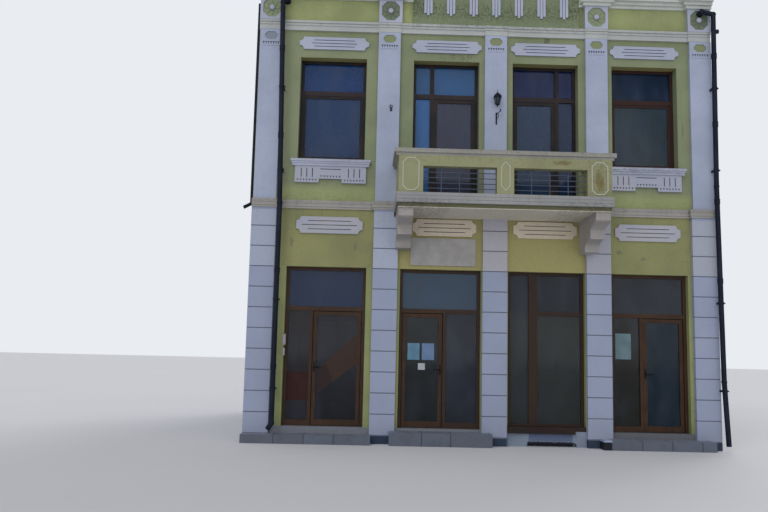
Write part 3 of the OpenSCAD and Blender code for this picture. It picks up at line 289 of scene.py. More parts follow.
def stepTiles(name, joints, depth):
    f = Finish(name, roughness=0.6, specular=0.3)
    x, y, z = f.axes()
    riserY = frontY - depth
    tread = y > riserY + 0.004  # the risers are a darker tile
    joint = tread * (abs((((y - riserY) / depth) % 1.0) - 0.5) > 0.488)
    index = 0.0
    for at in joints:
        joint = joint.high(abs(x - at) < 0.008)
        index = (x > at) + index
    own = f.chance(index, tread)
    speck = f.ramp(f.noise(70.0, 3.0, 0.7), 0.5, 0.62)
    dirt = f.ramp(f.noise(4.0, 5.0, 0.68), 0.45, 0.7)
    tone = f.blend(tread, paint("#656d7c"), paint("#8c94a6"))
    tone = f.blend((own * 0.4 + speck * 0.2 + dirt * 0.35).clamped(), tone, paint("#5a5f68"))
    # a riser tile is missing at the left end of the last step, under a loose tread: the hole is painted near-black as
    # its shade
    lastEnd, treadFoot = f.within(x, 2.0, 2.27), 0.14
    tone = f.blend(lastEnd * (z < treadFoot), tone, paint("#121824"))
    tone = f.blend(lastEnd * (z > treadFoot), tone, paint("#a3abc6"))
    f.feed("Base Color", f.blend(joint * 0.85, tone, paint("#33373e")))
    f.feed("Roughness", f.ramp(dirt, 0.0, 1.0, 0.5, 0.85))
    f.bump(speck * 0.2 - joint, 0.5, 0.003)
    return f.material


def cloth(name, colour, shade, folds, weave):
    f = Finish(name, roughness=0.9, specular=0.2)
    fold = f.noise(1.0, 3.0, 0.5, f.stretched((folds, 1.0, 0.25)))
    threads = f.node("TexWave", {"wave_type": "BANDS", "bands_direction": "Z"},
                     {"Vector": f.place, "Scale": weave, "Distortion": 0.4})
    tone = f.blend(f.ramp(fold, 0.35, 0.68), paint(colour), paint(shade))
    f.feed("Base Color", f.blend(threads * 0.12, tone, paint("#2c3442")))
    f.bump(fold * 0.8 + threads * 0.2, 0.5, 0.01)
    return f.material


def plainPaper(name, colour, shade):
    f = Finish(name, roughness=0.75, specular=0.3)
    age = f.ramp(f.noise(5.0, 4.0, 0.6), 0.35, 0.7)
    f.feed("Base Color", f.blend(age, paint(colour), paint(shade)))
    f.bump(f.noise(12.0, 3.0), 0.2, 0.002)
    return f.material


def setFinish(name, material):
    mesh = nodes[name].data
    mesh.materials.clear()
    mesh.materials.append(material)


def recess(face, depth, low, high, colour, across=wholeRun):  # a mark on the floor of a sunk ornament
    floor = face + depth
    return {"deeper": floor - 0.006, "outer": floor + 0.008, "low": low, "high": high, "colour": colour,
            "across": across}


pilasterFace, blockFace = frontY - 0.07, frontY - 0.1
medallion, drips, rosetteField = (7.575, 7.74), (7.44, 7.54), (8.01, 8.41)  # foot and top of sunk ornaments
shaftTop = (3.19, 4.25)  # the pilasters above the shop fronts, each painted a tint of its own as painted shade and bounce light
# patches and mould are given as sides, heights and tone or strength, runs as top, length and strength,
# spots as place and half sizes, lower as height, colour and shade
finishes = {
    "foundation_slab": weathered("baseRender", {
        "colour": "#98a5b7", "shade": "#8492a4", "dirt": "#525866", "mouldColour": "#4c4b47", "bare": "#7b7770",
        "splash": 0.3, "relief": 0.9, "ragged": 0.07,
        # the near-black strip under the lilac paint of the third bay is the vent slot, painted dark as its shade
        "patches": [(0.84, 1.65, 0.1, 0.26, "#677698"), (0.82, 1.68, 0.0, 0.09, "#080c14"),
                    (-4.0, -0.05, 0.15, 0.3, "#8b8e96"), (2.3, 4.0, 0.15, 0.3, "#75777a")]}),
    "front_piers": greenPlaster("greenPiers", runs=[(3.2, 0.8, 0.35)], splash=0.5),
    "spandrel_wall": greenPlaster(
        "greenSpandrel", colour="#9a9b6a", shade="#858761", runs=[(4.29, 0.5, 0.4)],
        # the lighter, warmer patch under the balcony is painted bounce light that lifts the balcony's shade
        cloud=0.9, patches=[(-1.65, 2.0, 3.1, 4.4, "#afa972")],
        spots=[(-3.62, 3.66, 0.04, 0.13), (-2.43, 3.6, 0.03, 0.11), (2.55, 3.62, 0.09, 0.05),
               (3.0, 3.5, 0.08, 0.05), (3.78, 3.47, 0.13, 0.012)]),
    "upper_front_wall": greenPlaster(
        "greenUpper", colour="#929a79", shade="#7f876b",
        lower=(4.73, "#a2a97a", "#929a6d"), runs=[(5.1, 0.6, 0.4), (7.26, 0.5, 0.25)],
        mould=[(-4.3, 4.3, 4.4, 4.6, 0.3)],
        spots=[(3.815, 6.02, 0.03, 0.19), (2.32, 4.62, 0.02, 0.03)]),
    "frieze_wall": greenPlaster(
        "greenFrieze", colour="#a8b07b", lower=(7.79, "#929a79", "#7f876b"),
        runs=[(8.4, 0.3, 0.3)], mould=[(-0.85, -0.2, 7.3, 7.45, 0.9)], bare="#5f6354",
        patches=[(1.8, 1.93, 7.97, 8.43, "#8a9068")], spots=[(1.193, 7.738, 0.085, 0.08)],
        marks=[{"deeper": frontY + 0.004, "outer": -3.5, "low": 7.25, "high": 7.27,
                "colour": "#9c9662"}]),  # soffits of the upper windows: olive paint, set lighter as painted bounce light from below
    "attic_wall": greenPlaster(
        "greenAttic", colour="#899677", shade="#788467", mouldColour="#3b3f2c", blotch=20.0,
        speckFrom=0.45, runs=[(8.7, 0.9, 0.3), (9.4, 0.5, 0.5), (8.22, 0.24, 0.7)],
        mould=[(*atticX, 7.98, 9.6, 0.35), (-1.43, -1.2, 8.2, 9.5, 0.8),
               (1.6, 1.81, 8.2, 9.5, 0.8), (*atticX, 8.15, 8.4, 0.8)],
        # the gaps between the pendant bars are painted dark as shade
        slits={"centre": 0.19, "pitch": 0.441, "offset": 0.0283, "half": 0.009, "low": 8.2,
               "high": 9.28, "across": (-1.3, 1.7), "colour": "#363e58"}),
    "balcony_parapet": greenPlaster(
        "greenBalcony", colour="#a3a47e", shade="#8f906e", runs=[(5.1, 0.4, 0.3)],
        mould=[(*balconyX, 4.95, 5.15, 0.3), (1.66, 2.2, 4.3, 5.1, 0.45)], bare="#77693f",
        spots=[(1.18, 5.02, 0.25, 0.05), (1.83, 4.72, 0.07, 0.26), (1.89, 4.66, 0.05, 0.2)],
        marks=[{"deeper": -5.1, "outer": -4.977, "low": 4.4, "high": 5.1, "colour": "#c3c2b6"}]),
    "pilasters": whitePlaster(
        "whitePilasters", colour="#b4bdd4", shade="#9fa8be", lower=(4.3, "#a4adc6", "#9aa3bb"),
        runs=[(4.25, 0.5, 0.25), (7.7, 0.5, 0.2)], splash=0.15,
        lines=(0.15, 0.380, 4.2), lineColour="#767c8c", foot=(0.145, "#344154"), ragged=0.002,
        # each pilaster's top above the shop fronts has a tint of its own: painted shade and painted bounce light
        patches=[(-4.4, -3.9, *shaftTop, "#afb8cc"), (-2.1, -1.6, *shaftTop, "#b2bbcf"),
                 (-0.1, 0.45, *shaftTop, "#bdbcc5"), (1.9, 2.4, *shaftTop, "#b4b6c2"),
                 (3.9, 4.4, *shaftTop, "#b0b6c5")],
        marks=[recess(pilasterFace, 0.014, *medallion, "#8b946f"),
               recess(pilasterFace, 0.014, *medallion, "#8d96a2", (-9, -4)),
               # the drip holes are painted dark as the shade inside them
               recess(pilasterFace, 0.014, *drips, "#484c57")]),
    "belt_course": whitePlaster(
        "whiteBelt", colour="#b0ada6", shade="#9d9b98", runs=[(4.46, 0.2, 0.5)],
        mould=[(-4.4, 4.4, 4.42, 4.5, 0.6)]),
    "string_cornice": whitePlaster(
        "whiteString", colour="#bfc3c0", shade="#adb0b0", runs=[(7.98, 0.22, 0.4)],
        mould=[(*atticX, 7.93, 8.05, 0.9)]),
    "rosette_blocks": whitePlaster(
        "whiteBlocks", runs=[(8.43, 0.3, 0.3)],
        marks=[recess(blockFace, 0.03, *rosetteField, "#939e80"),
               recess(blockFace, 0.03, *rosetteField, "#78846c", (-3, 0)),
               recess(blockFace, 0.03, *rosetteField, "#78846c", (3, 5))]),
    "top_cornice": whitePlaster(
        "whiteCornice", colour="#d0d4cf", shade="#bbc0bb", runs=[(8.68, 0.25, 0.45), (9.62, 0.15, 0.6)]),
    "attic_pendants": whitePlaster("whitePendants", runs=[(9.4, 1.0, 0.4)]),
    "balcony_slab": whitePlaster(
        "whiteSlab", colour="#a7a8a8", shade="#949594", runs=[(4.43, 0.2, 0.5)],
        mould=[(*balconyX, 4.24, 4.28, 0.9), (-1.8, -0.8, 4.16, 4.29, 1.0),
               (1.2, 2.2, 4.16, 4.29, 1.0)], ragged=0.006,
        # the underside is pale plaster painted lighter still as bounce light from below, the mossy strip is its own
        # colour, and the two thin grey bands on the fascia are painted shadow lines under its mouldings
        patches=[(*wholeRun, 4.0, 4.184, "#dcd6c6"), (*wholeRun, 4.184, 4.2535, "#6a694b"),
                 (*wholeRun, 4.308, 4.318, "#828288"), (*wholeRun, 4.37, 4.38, "#828288")]),
    "balcony_coping": whitePlaster(
        "whiteCoping", colour="#a6a59d", shade="#918f87", runs=[(5.22, 0.2, 0.5)],
        mould=[(-1.9, 2.3, 5.17, 5.3, 0.7)]),
    "corbels": whitePlaster(
        "whiteCorbels", colour="#b3afad", shade="#9c9792", runs=[(4.18, 0.4, 0.3)],
        mould=[(*balconyX, 4.13, 4.2, 0.7)]),
    "window_sills": whitePlaster("whiteSills", runs=[(5.25, 0.15, 0.5)], mould=[(2.3, 4.0, 5.1, 5.26, 0.6)]),
    "window_aprons": whitePlaster(
        "whiteAprons", colour="#b5b6c2", marks=[recess(frontY - 0.045, 0.014, 4.7, 5.11, "#5e6270")]),
    "plaques": whitePlaster(
        # the light warm patch on the plaques under the balcony is painted bounce light in the balcony's shade
        "whitePlaques", lower=(5.0, "#b9b7bc", "#a7adbf"), patches=[(-1.7, 2.1, 3.6, 4.6, "#e0d3be")],
        marks=[recess(frontY - 0.03, 0.015, 3.7, 7.8, "#636877")]),
    "sign_board": plainPaper("signPlate", "#afaeac", "#a29f9c"),
    "left_party_wall": weathered("sidePlasterLeft", {
        "colour": "#a9b0bd", "shade": "#979ea9", "dirt": "#77787a", "mouldColour": "#555654", "bare": "#857f78",
        "runs": [(9.8, 3.0, 0.35)], "relief": 0.8}),
    "upper_floor": boards("floorBoards", "#a3815a", "#7d5f40", 0.14),
}
for side in ("right_party_wall", "back_wall_ground", "back_wall_upper"):
    finishes[side] = weathered("plaster_" + side, {
        "colour": "#b5b8bd", "shade": "#a2a4a8", "dirt": "#7c7a75", "mouldColour": "#55544f", "bare": "#867f76",
        "runs": [(8.2, 1.4, 0.35), (5.2, 0.8, 0.4)], "relief": 0.8})
finishes["ceiling"] = weathered("ceilingPlaster", {
    "colour": "#d6d3cc", "shade": "#c6c2ba", "dirt": "#9a968e", "mouldColour": "#77736b", "bare": "#a19a8e"})
for name in ("upper_window_frames", "balcony_doors"):
    finishes[name] = joinery("upperJoinery_" + name, "#1e1c21", "#151418",
                             bars=[(-9, 2.2, 6.545, 6.68, "#35282b"), (2.2, 9, 5.2, 7.3, "#3e2218")])
for name in ("shop_frames", "door_1_leaf", "door_2_leaf", "door_4_leaf", "back_windows"):
    finishes[name] = joinery("shopJoinery_" + name, "#4b311d", "#312014",
                             bars=[(-0.8, 0.1, 0, 9, "#3b2a20"), (0.2, 2.05, 0, 9, "#33231a")])
# the shop sill is dark, partly its own dark wood and partly painted shade of the recess under the shop window
finishes["shop_window_sill"] = joinery("sillJoinery", "#2f1e1c", "#201614")
crossbar, transom = 6.61, 2.45  # heights that part the panes
upperPaneReflections = []  # tint of each pane, above and below the crossbar: painted reflections and painted shade of the rooms behind
for lowX, highX, above, below in ((-3.8, -2.1, "#0f3d76", "#213f6a"), (-1.5, -0.99, "#376598", "#4174b2"),
                                  (-0.99, 0.0, "#376598", "#43465a"), (0.5, 1.4, "#001b50", "#314661"),
                                  (1.4, 1.9, "#001b50", "#243656"), (2.3, 3.9, "#0c253e", "#303f48")):
    upperPaneReflections += [(lowX, highX, crossbar, 7.3, above), (lowX, highX, 4.4, crossbar, below)]
finishes["upper_glass"] = glazing("glass_upper", "#27344c", "#3a4a66", 0.8, upperPaneReflections)
topLight, shopLight = (transom, 3.4), (0.3, transom)
# each shop pane's tint is painted reflection and painted shade of the shop behind
shopPaneReflections = [(-3.8, -2.1, *topLight, "#243655"), (-3.8, -3.1, *shopLight, "#2a292e"),
             (-1.65, 0.0, *topLight, "#41566c"), (0.4, 1.95, *topLight, "#19242d"),
             (0.4, 1.95, *shopLight, "#2f3534"), (2.3, 4.0, *topLight, "#272d35"),
             (2.3, 3.05, *shopLight, "#22241f")]
finishes["shop_glass"] = glazing("glass_shops", "#2a303b", "#3d4553", 0.8, shopPaneReflections)
# each door's glass tint is painted shade of the room behind and painted reflection
for name, code in (("door_1_glass", "#24252c"), ("door_2_glass", "#23292b"), ("door_4_glass", "#0c2433")):
    finishes[name] = glazing("glass_" + name, code, "#353c48", 0.8)
for name in ("door_1_handle", "door_2_handle", "door_4_handle"):
    finishes[name] = metalPaint("iron_" + name, "#08090b", "#26241f", 0.5, 0.2)
finishes["balcony_rods"] = metalPaint("rodPaint", "#4f5a6e", "#3f3f40")
finishes["downpipes"] = metalPaint("pipePaint", "#0b1426", "#222e42", 0.55, 0.25)
finishes["entry_steps"] = stepTiles("stepTiles", (-3.79, -3.254, -2.719, -1.15, -0.629, 2.819, 3.362, 3.905), 0.35)
for name, material in finishes.items():
    setFinish(name, material)
print("finishes set on", len(finishes), "nodes")


# modelling helpers
def setMode(mode):
    bpy.ops.object.mode_set(mode=mode)


def deselectAll():
    if bpy.context.object and bpy.context.object.mode != "OBJECT":
        setMode("OBJECT")
    bpy.ops.object.select_all(action="DESELECT")


def only(piece):
    deselectAll()
    piece.select_set(True)
    bpy.context.view_layer.objects.active = piece


def settle(piece):  # put the object's place into its mesh
    only(piece)
    bpy.ops.object.transform_apply(location=True, rotation=True, scale=True)


def fresh(name):  # the primitive that was just added, named and with its place in its mesh
    piece = bpy.context.object
    piece.name = name
    settle(piece)
    return piece


def modify(piece, kind, **settings):
    only(piece)
    made = piece.modifiers.new(kind.lower(), kind)
    for key, value in settings.items():
        setattr(made, key, value)
    bpy.ops.object.modifier_apply(modifier=made.name)


def ease(piece, edge):  # small bevels on the sharp edges
    modify(piece, "BEVEL", width=edge, segments=2, limit_method="ANGLE")


def repeat(piece, count, step, **extra):
    modify(piece, "ARRAY", count=count, use_relative_offset=False, use_constant_offset=True,
           constant_offset_displace=step, **extra)


def editWhere(piece, test):  # into edit mode with the vertices whose place passes a test
    only(piece)
    setMode("EDIT")
    bpy.ops.mesh.select_all(action="DESELECT")
    setMode("OBJECT")
    for vertex in piece.data.vertices:
        vertex.select = test(vertex.co)
    setMode("EDIT")


def moveWhere(piece, test, shift):
    editWhere(piece, test)
    bpy.ops.transform.translate(value=shift)
    setMode("OBJECT")


def cut(piece, *planes, fill=True):  # take away what lies past each plane, given as a point and a direction
    only(piece)
    setMode("EDIT")
    for place, outward in planes:
        bpy.ops.mesh.select_all(action="SELECT")
        bpy.ops.mesh.bisect(plane_co=place, plane_no=outward, clear_outer=True, use_fill=fill)
    setMode("OBJECT")


def faceOut():  # turn the faces of the piece being edited outwards and end the edit
    bpy.ops.mesh.select_all(action="SELECT")
    bpy.ops.mesh.normals_make_consistent(inside=False)
    setMode("OBJECT")


def block(name, low, high, edge=0.004):  # a box between two corners with eased edges
    deselectAll()
    low, high = Vector(low), Vector(high)
    bpy.ops.mesh.primitive_cube_add(size=1, location=(low + high) / 2, scale=high - low)
    piece = fresh(name)
    if edge:
        ease(piece, edge)
    return piece


def rod(name, start, end, radius, sides=16, edge=0.0):  # a round bar between two points
    deselectAll()
    start, end = Vector(start), Vector(end)
    turn = (end - start).to_track_quat("Z", "Y").to_euler()
    bpy.ops.mesh.primitive_cylinder_add(vertices=sides, radius=radius, depth=(end - start).length,
                                        location=(start + end) / 2, rotation=turn)
    piece = fresh(name)
    if edge:
        ease(piece, edge)
    return piece


def ring(name, centre, turn, radius, thickness, steps):
    deselectAll()
    bpy.ops.mesh.primitive_torus_add(major_radius=radius, minor_radius=thickness, major_segments=steps,
                                     minor_segments=8, location=centre, rotation=turn)
    return fresh(name)


def upright(name, xs, zs, y, columns, rows):  # a flat grid that faces the front
    deselectAll()
    bpy.ops.mesh.primitive_grid_add(x_subdivisions=columns, y_subdivisions=rows, size=1,
                                    location=((xs[0] + xs[1]) / 2, y, (zs[0] + zs[1]) / 2),
                                    rotation=(math.pi / 2, 0, 0))
    bpy.context.object.scale = (xs[1] - xs[0], zs[1] - zs[0], 1)
    return fresh(name)


def turned(name, centre, outline, sides=24):  # a lathe shape from [radius, height] pairs, upright through centre
    deselectAll()
    point = 0.0005  # radius that stands for a closed end
    radii = [max(radius, point) for radius, height in outline]
    heights = [height for radius, height in outline]
    bpy.ops.mesh.primitive_circle_add(vertices=sides, radius=radii[0], fill_type="NGON",
                                      location=(centre[0], centre[1], centre[2] + heights[0]))
    piece = bpy.context.object
    piece.name = name
    setMode("EDIT")
    bpy.ops.mesh.select_all(action="SELECT")
    for k in range(1, len(outline)):
        bpy.ops.mesh.extrude_region_move(TRANSFORM_OT_translate={"value": (0, 0, heights[k] - heights[k - 1])})
        ratio = radii[k] / radii[k - 1]
        bpy.ops.transform.resize(value=(ratio, ratio, 1),
                                 center_override=(centre[0], centre[1], centre[2] + heights[k]))
    faceOut()
    settle(piece)
    return piece


def joined(name, pieces):
    deselectAll()
    for piece in pieces:
        piece.select_set(True)
    bpy.context.view_layer.objects.active = pieces[0]
    if len(pieces) > 1:
        bpy.ops.object.join()
    pieces[0].name = name
    pieces[0].data.name = name
    return pieces[0]


def copied(piece, shift):  # a copy with its own mesh, moved
    only(piece)
    bpy.ops.object.duplicate(linked=False)
    twin = bpy.context.object
    bpy.ops.transform.translate(value=shift)
    settle(twin)
    return twin


def finished(piece, body, material, smooth=None):
    piece.data.materials.clear()
    piece.data.materials.append(material)
    if smooth:
        only(piece)
        bpy.ops.object.shade_smooth_by_angle(angle=math.radians(smooth))
    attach(piece, body)
    return piece


# roof: deck, tiles and ridge caps
roofSet = {"pitch": math.radians(23), "width": 0.219, "length": 0.336, "lap": 1.14, "thick": 0.011, "wave": 0.019,
           "roll": (0.0, 0.1, 0.75, 0.97, 1.0, 0.97, 0.75, 0.1, 0.0), "columns": 40, "sink": 0.034,
           "deckTop": 0.062, "deckFoot": 0.1847, "capRadius": 0.1, "capEnd": -4.02, "capStep": 0.3497, "caps": 25}
roofLow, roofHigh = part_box("roof")
ridgeZ = roofHigh.z - 0.015  # where the planes of the tile rolls meet under the ridge caps


def roofTop(y):
    return ridgeZ - abs(y) * math.tan(roofSet["pitch"])


def tileCourses(name, turn, firstY, count):  # one slope of lapped tiles, laid from the eaves up
    s = roofSet
    steps = len(s["roll"]) - 1
    deselectAll()
    bpy.ops.mesh.primitive_grid_add(x_subdivisions=steps, y_subdivisions=2, size=1, location=(0, 0, 0))
    bpy.context.object.scale = (s["width"], s["length"] * s["lap"], 1)
    tile = fresh(name)
    for k, height in enumerate(s["roll"]):
        at = -s["width"] / 2 + k * s["width"] / steps
        moveWhere(tile, lambda co: abs(co.x - at) < 0.002, (0, 0, height * s["wave"]))
    # the lower edge and the right side of a tile lie on its neighbours
    moveWhere(tile, lambda co: co.y < -s["length"] * 0.4 or co.x > s["width"] / 2 - 0.002,
              (0, 0, s["thick"] + 0.006))
    modify(tile, "SOLIDIFY", thickness=s["thick"], offset=-1)
    repeat(tile, s["columns"], (s["width"], 0, 0), use_merge_vertices=True, merge_threshold=0.001)
    repeat(tile, count, (0, s["length"], 0))
    moveWhere(tile, lambda co: True, (-s["width"] * (s["columns"] - 1) / 2, s["length"] / 2, 0))
    # lay the sheet on its slope
    tile.rotation_euler = (s["pitch"], 0, turn)
    tile.location = (0, firstY, roofTop(firstY) - s["sink"])
    settle(tile)
    return tile


def makeRoof():
    s = roofSet
    clay = roofClay("roofClay", s["width"], s["length"] * math.cos(s["pitch"]))
    front = tileCourses("tilesFront", 0, -3.39, 11)
    back = tileCourses("tilesBack", math.pi, 4.12, 13)
    tiles = joined("roofTiles", [front, back])
    cut(tiles, ((roofLow.x, 0, 0), (-1, 0, 0)), ((roofHigh.x, 0, 0), (1, 0, 0)),
        ((0, roofHigh.y - 0.012, 0), (0, 1, 0)))
    finished(tiles, "house", clay, 35)
    # deck under the tiles, open rafters are not seen
    decks = []
    for nearY, farY in ((-3.4, 0.0), (0.0, roofHigh.y - 0.08)):
        deck = block("deck", (roofLow.x, nearY, 0), (roofHigh.x, farY, 0.1), 0)
        for vertex in deck.data.vertices:
            drop = s["deckTop"] / math.cos(s["pitch"]) if vertex.co.z > 0.05 else s["deckFoot"]
            vertex.co.z = roofTop(vertex.co.y) - drop
        decks.append(deck)
    deck = joined("roofDeck", decks)
    finished(deck, "house", boards("eavesBoards", "#8b7355", "#5f4c38", 0.12))
    # ridge caps, each half round with a narrower end under the next
    capZ = ridgeZ - 0.086
    cap = rod("cap", (-halfWidth, 0, capZ), (s["capEnd"], 0, capZ), s["capRadius"], 20)
    cut(cap, ((0, 0, ridgeZ - 0.085), (0, 0, -1)))
    editWhere(cap, lambda co: co.x > s["capEnd"] - 0.08)
    bpy.ops.transform.resize(value=(1, 0.86, 0.86), center_override=(0, 0, capZ))
    ease(cap, 0.006)
    repeat(cap, s["caps"], (s["capStep"], 0, 0))
    cut(cap, ((halfWidth, 0, 0), (1, 0, 0)))
    cap.name = "ridgeCaps"
    finished(cap, "house", clay, 40)
    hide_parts("roof")
    print("roof made")


makeRoof()


# half-round gutter at the back eaves
gutterSet = {"reach": 4.36, "y": 4.075, "radius": 0.062, "wall": 0.004, "hooks": 11, "hookStep": 0.857}


def makeGutter():
    s = gutterSet
    z = roofTop(4.09) - 0.15
    gutter = rod("gutter", (-s["reach"], s["y"], z), (s["reach"], s["y"], z), s["radius"], 24)
    cut(gutter, ((0, 0, z), (0, 0, 1)), fill=False)
    setMode("EDIT")
    faceOut()
    modify(gutter, "SOLIDIFY", thickness=s["wall"], offset=-1)
    hooks = [block("hook", (-4.3, 3.86, z + 0.004), (-4.27, 4.13, z + 0.012), 0.002)]
    for k in range(1, s["hooks"]):
        hooks.append(copied(hooks[0], (k * s["hookStep"], 0, 0)))
    gutter = joined("gutter", [gutter] + hooks)
    finished(gutter, "house", metalPaint("gutterPaint", "#4b4f55", "#75777b"), 40)
    print("gutter made")


makeGutter()


# rosettes on the cornice blocks
rosetteSet = {"z": 8.2105, "xs": (-4.15, -1.86, 2.14, 4.15), "petals": 8, "petal": (0.052, 0.014, 0.026),
              "reach": 0.098, "petalY": frontY - 0.072, "knobY": frontY - 0.104,
              "knob": [[0.05, 0.0], [0.046, 0.012], [0.03, 0.02], [0.0, 0.024]]}


def makeRosettes():
    s = rosetteSet
    petals, knobs = [], []
    for x in s["xs"]:
        for k in range(s["petals"]):
            if x > 4 and k == 2:  # the rainwater outlet takes the place of this petal
                continue
            turn = k * 2 * math.pi / s["petals"]
            deselectAll()
            bpy.ops.mesh.primitive_uv_sphere_add(
                segments=14, ring_count=8, radius=1, scale=s["petal"], rotation=(0, -turn, 0),
                location=(x + math.cos(turn) * s["reach"], s["petalY"], s["z"] + math.sin(turn) * s["reach"]))
            petals.append(fresh("petal"))
        knob = turned("knob", (0, 0, 0), s["knob"], 20)
        knob.rotation_euler = (math.pi / 2, 0, 0)
        knob.location = (x, s["knobY"], s["z"])
        settle(knob)
        knobs.append(knob)
    petals = joined("rosettePetals", petals)
    finished(petals, "house", greenPlaster(
        "greenPetals", colour="#949d7f", shade="#868f72",
        patches=[(-3, 0, 8, 9, "#6f7a69"), (3, 5, 8, 9, "#6f7a69")]), 50)
    knobs = joined("rosetteKnobs", knobs)
    finished(knobs, "house", whitePlaster("whiteKnobs"), 50)
    print("rosettes made")


makeRosettes()


# lantern on the middle pilaster, with a curled bracket below it; profiles are radius and height
lanternSet = {
    "x": 0.199, "y": -4.01, "wall": -3.87, "turn": math.radians(15),
    "hood": [[0.083, 6.506], [0.0855, 6.512], [0.08, 6.528], [0.066, 6.55], [0.05, 6.566], [0.03, 6.584],
             [0.018, 6.597], [0.008, 6.606], [0.0055, 6.61], [0.0055, 6.648], [0.0, 6.652]],
    "cup": [[0.0, 6.326], [0.011, 6.329], [0.014, 6.338], [0.009, 6.346], [0.034, 6.36], [0.038, 6.368]],
    "rim": [[0.072, 6.495], [0.078, 6.498], [0.082, 6.508], [0.0, 6.51]],
    "pane": [[0.033, 6.366], [0.069, 6.497]],
    "bar": ((0.035, 6.364), (0.072, 6.499)),
    "arm": [(-3.882, 6.44), (-3.905, 6.415), (-3.94, 6.41), (-3.975, 6.338), (-4.005, 6.33), (-4.01, 6.342)],
    "curlZ": 6.22, "curlReach": 0.186, "curlRings": ((0.186, 0.021, 0.0215), (0.052, -0.05, 0.046)),
}


def makeLantern():
    s = lanternSet
    x, y, wall = s["x"], s["y"], s["wall"]
    iron = metalPaint("lanternIron", "#0b0f16", "#1c222c", 0.5, 0.22)
    made = [turned("hood", (x, y, 0), s["hood"], 6), turned("cup", (x, y, 0), s["cup"], 12),
            turned("rim", (x, y, 0), s["rim"], 6)]
    for k in range(6):  # glazing bars
        across, along = math.cos(k * math.pi / 3), math.sin(k * math.pi / 3)
        foot, head = [(x + out * across, y + out * along, z) for out, z in s["bar"]]
        made.append(rod("bar", foot, head, 0.005, 8))
    # wall plate and the lantern's bent arm
    made.append(block("plate", (x - 0.028, wall - 0.014, 6.41), (x + 0.028, wall, 6.52), 0.006))
    for (y0, z0), (y1, z1) in zip(s["arm"], s["arm"][1:]):
        made.append(rod("arm", (x, y0, z0), (x, y1, z1), 0.0065, 10))
    # curled bracket: strap, bar turned a little aside, curl and ring
    start = Vector((x, wall - 0.008, s["curlZ"]))
    ahead = Vector((math.sin(s["turn"]), -math.cos(s["turn"]), 0))
    made.append(block("strap", (x - 0.013, wall - 0.012, 6.012), (x + 0.013, wall, 6.248)))
    made.append(rod("curlBar", start, start + ahead * s["curlReach"], 0.0068, 10))
    for along, rise, radius in s["curlRings"]:
        made.append(ring("curl", start + ahead * along + Vector((0, 0, rise)), (0, math.pi / 2, s["turn"]),
                         radius, 0.0058, 28))
    lantern = joined("lantern", made)
    finished(lantern, "house", iron, 40)
    glass = turned("lanternGlass", (x, y, 0), s["pane"], 6)
    f = Finish("lanternPane", roughness=0.12, specular=0.3)
    f.feed("Base Color", f.blend(f.noise(12.0), paint("#252e3c"), paint("#4a5462")))
    finished(glass, "house", f.material)
    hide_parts("wall_lantern")
    print("lantern made")


makeLantern()


# curtains and blinds behind the glass
lintel, head = 6.53, 7.22  # behind the crossbars and behind the head members
curtainSet = {
    "cloths": {"net": ("netCurtain", "#7d8ca8", "#5b6982", 9.0, 160.0),
               "blind": ("rollerBlind", "#5d6f92", "#546586", 1.2, 60.0),
               "dark": ("darkBlind", "#4c4f62", "#424557", 1.0, 60.0)},
    "sheets": [  # name, x from, x to, foot, top, cloth, folds
        ("blindBay1", -3.54, -2.33, 5.34, lintel, "blind", 1), ("blindBay1Top", -3.54, -2.33, 6.66, head, "blind", 1),
        ("blindBay2Side", -1.32, -1.06, 4.56, lintel, "blind", 1), ("blindBay2", -0.94, -0.2, 4.62, lintel, "dark", 1),
        ("blindBay2Top", -1.32, -0.2, 6.66, head, "blind", 1),
        ("netBay3", 0.6, 1.34, 4.62, lintel, "net", 7), ("netBay3Side", 1.47, 1.72, 4.56, lintel, "net", 3),
        ("blindBay3Top", 0.6, 1.72, 6.66, head, "blind", 1),
        ("netBay4", 2.49, 3.67, 5.34, head, "net", 8)],
    "netY": -3.44, "blindY": -3.48, "netDepth": 0.028, "blindDepth": 0.004, "rodRadius": 0.007, "rollerRadius": 0.016,
    "bracketY": -3.52,
}


def hanging(name, xs, zs, y, folds, depth):  # a curtain that hangs in folds
    piece = upright(name, xs, zs, y, max(4, folds * 6), 6)
    for vertex in piece.data.vertices:
        share = (vertex.co.x - xs[0]) / (xs[1] - xs[0])
        drop = (zs[1] - vertex.co.z) / (zs[1] - zs[0])
        vertex.co.y += depth * math.sin(share * folds * 2 * math.pi + 0.6 * drop) * (0.5 + 0.5 * drop)
    modify(piece, "SOLIDIFY", thickness=0.002, offset=0)
    return piece


def makeCurtains():
    s = curtainSet
    cloths = {key: cloth(*values) for key, values in s["cloths"].items()}
    rails = []
    for name, x0, x1, z0, z1, kind, folds in s["sheets"]:
        net = kind == "net"
        y = s["netY"] if net else s["blindY"]
        piece = hanging(name, (x0, x1), (z0, z1), y, folds, s["netDepth"] if net else s["blindDepth"])
        finished(piece, "house", cloths[kind], 60)
        # what carries it: a rod or a roller, with a bracket at each end
        radius = s["rodRadius"] if net else s["rollerRadius"]
        level = z1 - radius / 2
        rails.append(rod("rail", (x0 - 0.008, y, level), (x1 + 0.008, y, level), radius, 16, 0.002))
        for x in (x0 - 0.012, x1 + 0.004):
            rails.append(block("bracket", (x, s["bracketY"], z1 - 0.03), (x + 0.008, y + radius, z1 + 0.012), 0.002))
    rails = joined("curtainRails", rails)
    finished(rails, "house", metalPaint("railPaint", "#6d6c6a", "#a3a09a"), 40)
    print("curtains made")


makeCurtains()


